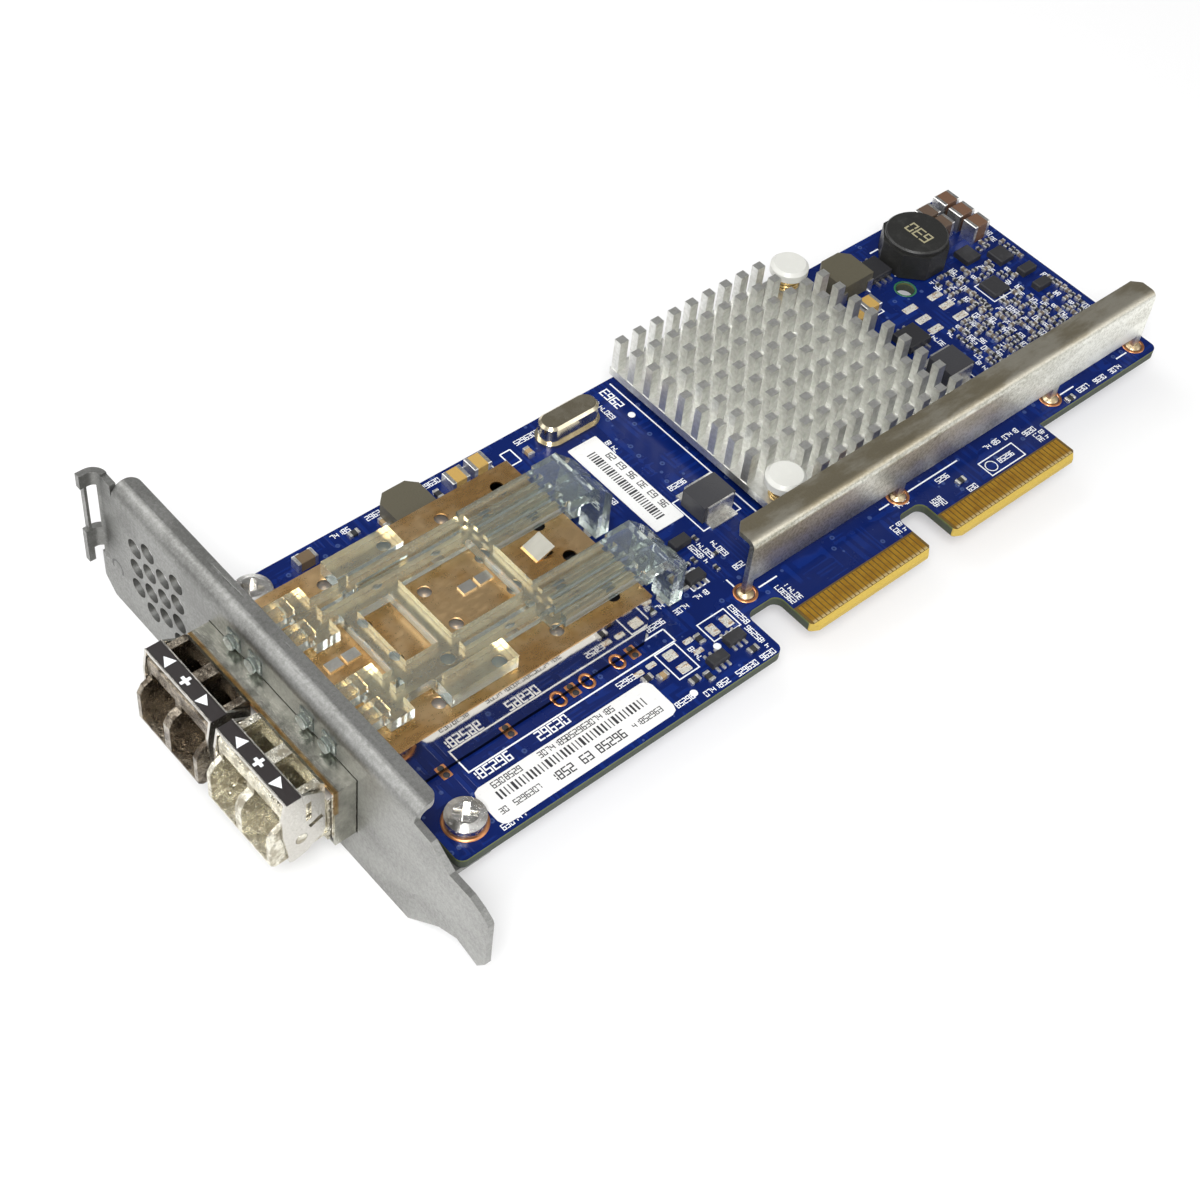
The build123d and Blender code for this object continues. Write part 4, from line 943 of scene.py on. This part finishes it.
for tall, rows in (
    (0.85, ((16.9, 6.4, 3, True), (19.0, 6.4, 4, True), (24.4, 6.4, 7, True), (28.9, 6.4, 12, True))),
    (0.8, ((15.3, 2.8, 2, True), (17.5, 2.8, 7, True), (36.8, 2.6, 8, True))),
    (1.2, ((23.4, 2.6, 4, True), (28.2, 2.6, 2, True), (30.9, 2.6, 5, True))),
    (0.95, [(65.5, 28.1 + 2.2 * n, 2, False) for n in range(6)]),
):
    bars += numbers(rows, tall, label_ink)
marks("label_bars", bars, finishes["print"])


# Marks on the bails' strips

def bail_marks(side, y):
    """A plus between two triangles, white on the black strip, which turn with the bail."""
    ink, slot, body = finishes["ink"], "nylon_white", side + "_bail"
    plus = [(strip_x, y, strip_top, 1.5, 0.45, 0.05), (strip_x, y, strip_top, 0.45, 1.5, 0.045)]
    slabs(side + "_plus", plus, ink, body, corner=0.05, edge=0.02)
    triangle = [(1.0, 0.0), (1.0, 0.03), (0.95, 0.05)]
    for end, sign in (("low", -1), ("high", 1)):
        place = [(strip_x, y + sign * 3.6, strip_top)]
        first = sign * np.pi / 2
        turned(f"{side}_arrow_{end}", place, triangle, ink, body, steps=3, smooth=False, first=first)


for side, y in zip(("near", "far"), port_places):
    bail_marks(side, y)


# Floor, light and camera

def floor():
    """A pale sheet that keeps the shadow and, to the camera, turns white away from the card."""
    half = 900.0
    white_start, white_end = 110, 400
    square = np.array([(-1, -1), (1, -1), (1, 1), (-1, 1)])
    corners = np.column_stack([np.array(board_middle) + square * half, np.full(4, floor_z)])
    mesh = bpy.data.meshes.new("floor")
    mesh.from_pydata((corners * mm).tolist(), [], [(0, 1, 2, 3)])
    finish = Finish("pale_floor", Base_Color=(0.90, 0.90, 0.90, 1), Roughness=0.9)
    white = finish.node("ShaderNodeEmission", inputs={"Color": (1, 1, 1, 1), "Strength": 1.0})
    seen = finish.node("ShaderNodeLightPath", output="Is Camera Ray")
    offset = finish.vector("SUBTRACT", finish.place, (*board_middle, floor_z))
    away = finish.vector("LENGTH", offset, output="Value")
    share = seen * finish.ramp(away, white_start, white_end, 0.35, 1.0)
    sheet_shader = Value(finish, finish.shader.outputs[0])
    mixed = finish.node("ShaderNodeMixShader", inputs=[share, sheet_shader, white])
    finish.put(finish.nodes["Material Output"].inputs["Surface"], mixed)
    mesh.materials.append(finish.material)
    sheet = bpy.data.objects.new("floor", mesh)
    bpy.context.scene.collection.objects.link(sheet)


def world():
    """White to the camera, and to all else a soft tent with one dimmer and two brighter patches."""
    dim_side = (0.47, 0.44, 0.76)
    bright_sides = ((-0.76, 0.44, 0.47), (0.47, -0.76, 0.44))
    made = bpy.data.worlds.new("tent")
    tree = Tree(made)
    way = tree.node("ShaderNodeTexCoord", output="Generated")
    upward = tree.node("ShaderNodeSeparateXYZ", inputs=[way], output="Z")
    level = tree.ramp(upward, -0.1, 0.8, 0.18, 0.74, "LINEAR")
    toward = tree.vector("DOT_PRODUCT", way, dim_side, output="Value")
    level = level * tree.ramp(toward, 0.62, 0.92, 1.0, 0.30, "LINEAR")
    for side in bright_sides:
        toward = tree.vector("DOT_PRODUCT", way, side, output="Value")
        level = level.larger(tree.ramp(toward, 0.93, 0.97, 0.0, 2.0, "LINEAR"))
    seen = tree.node("ShaderNodeLightPath", output="Is Camera Ray")
    shown = tree.node("ShaderNodeMix", inputs={"Factor": seen, "A": level, "B": 1.0}, output="Result")
    background = tree.nodes["Background"]
    tree.put(background.inputs["Color"], shown)
    tree.put(background.inputs["Strength"], 1.0)
    bpy.context.scene.world = made


def hold(name, data, place, side, up, back):
    """Puts a lamp or a camera at a place, with its own three axes along side, up and back."""
    turn = np.eye(4)
    turn[:3, :3] = np.column_stack([side, up, back])
    turn[:3, 3] = np.array(place) * mm
    holder = bpy.data.objects.new(name, data)
    holder.matrix_world = Matrix(turn)
    bpy.context.scene.collection.objects.link(holder)
    return holder


def soft_lamp(name, place, size, power):
    """A square lamp that faces the middle of the board."""
    lamp = bpy.data.lights.new(name, "AREA")
    lamp.size = size * mm
    lamp.energy = power
    ahead = np.array((*board_middle, 0.0)) - np.array(place, float)
    ahead /= np.linalg.norm(ahead)
    side = np.cross(ahead, (0, 0, 1))
    side /= np.linalg.norm(side)
    hold(name, lamp, place, side, np.cross(side, ahead), -ahead)


def camera():
    """The photograph's camera, from its place and the directions of its right, down and ahead."""
    place = (-85.64, -102.45, 215.01)
    right = np.array((0.7515267, -0.6536743, 0.0889804))
    down = np.array((-0.4607941, -0.6166580, -0.6382802))
    ahead = np.array((0.4720979, 0.4386830, -0.7646443))
    made = bpy.data.cameras.new("camera")
    made.lens = 63.73
    made.sensor_width = 36.0
    made.clip_start = 10.0 * mm
    bpy.context.scene.camera = hold("camera", made, place, right, -down, -ahead)


floor()
world()
soft_lamp("key", (-190, -190, 430), 180, 2.3)
soft_lamp("fill", (-60, 330, 380), 300, 0.7)
camera()
bpy.context.scene.view_settings.view_transform = "Standard"
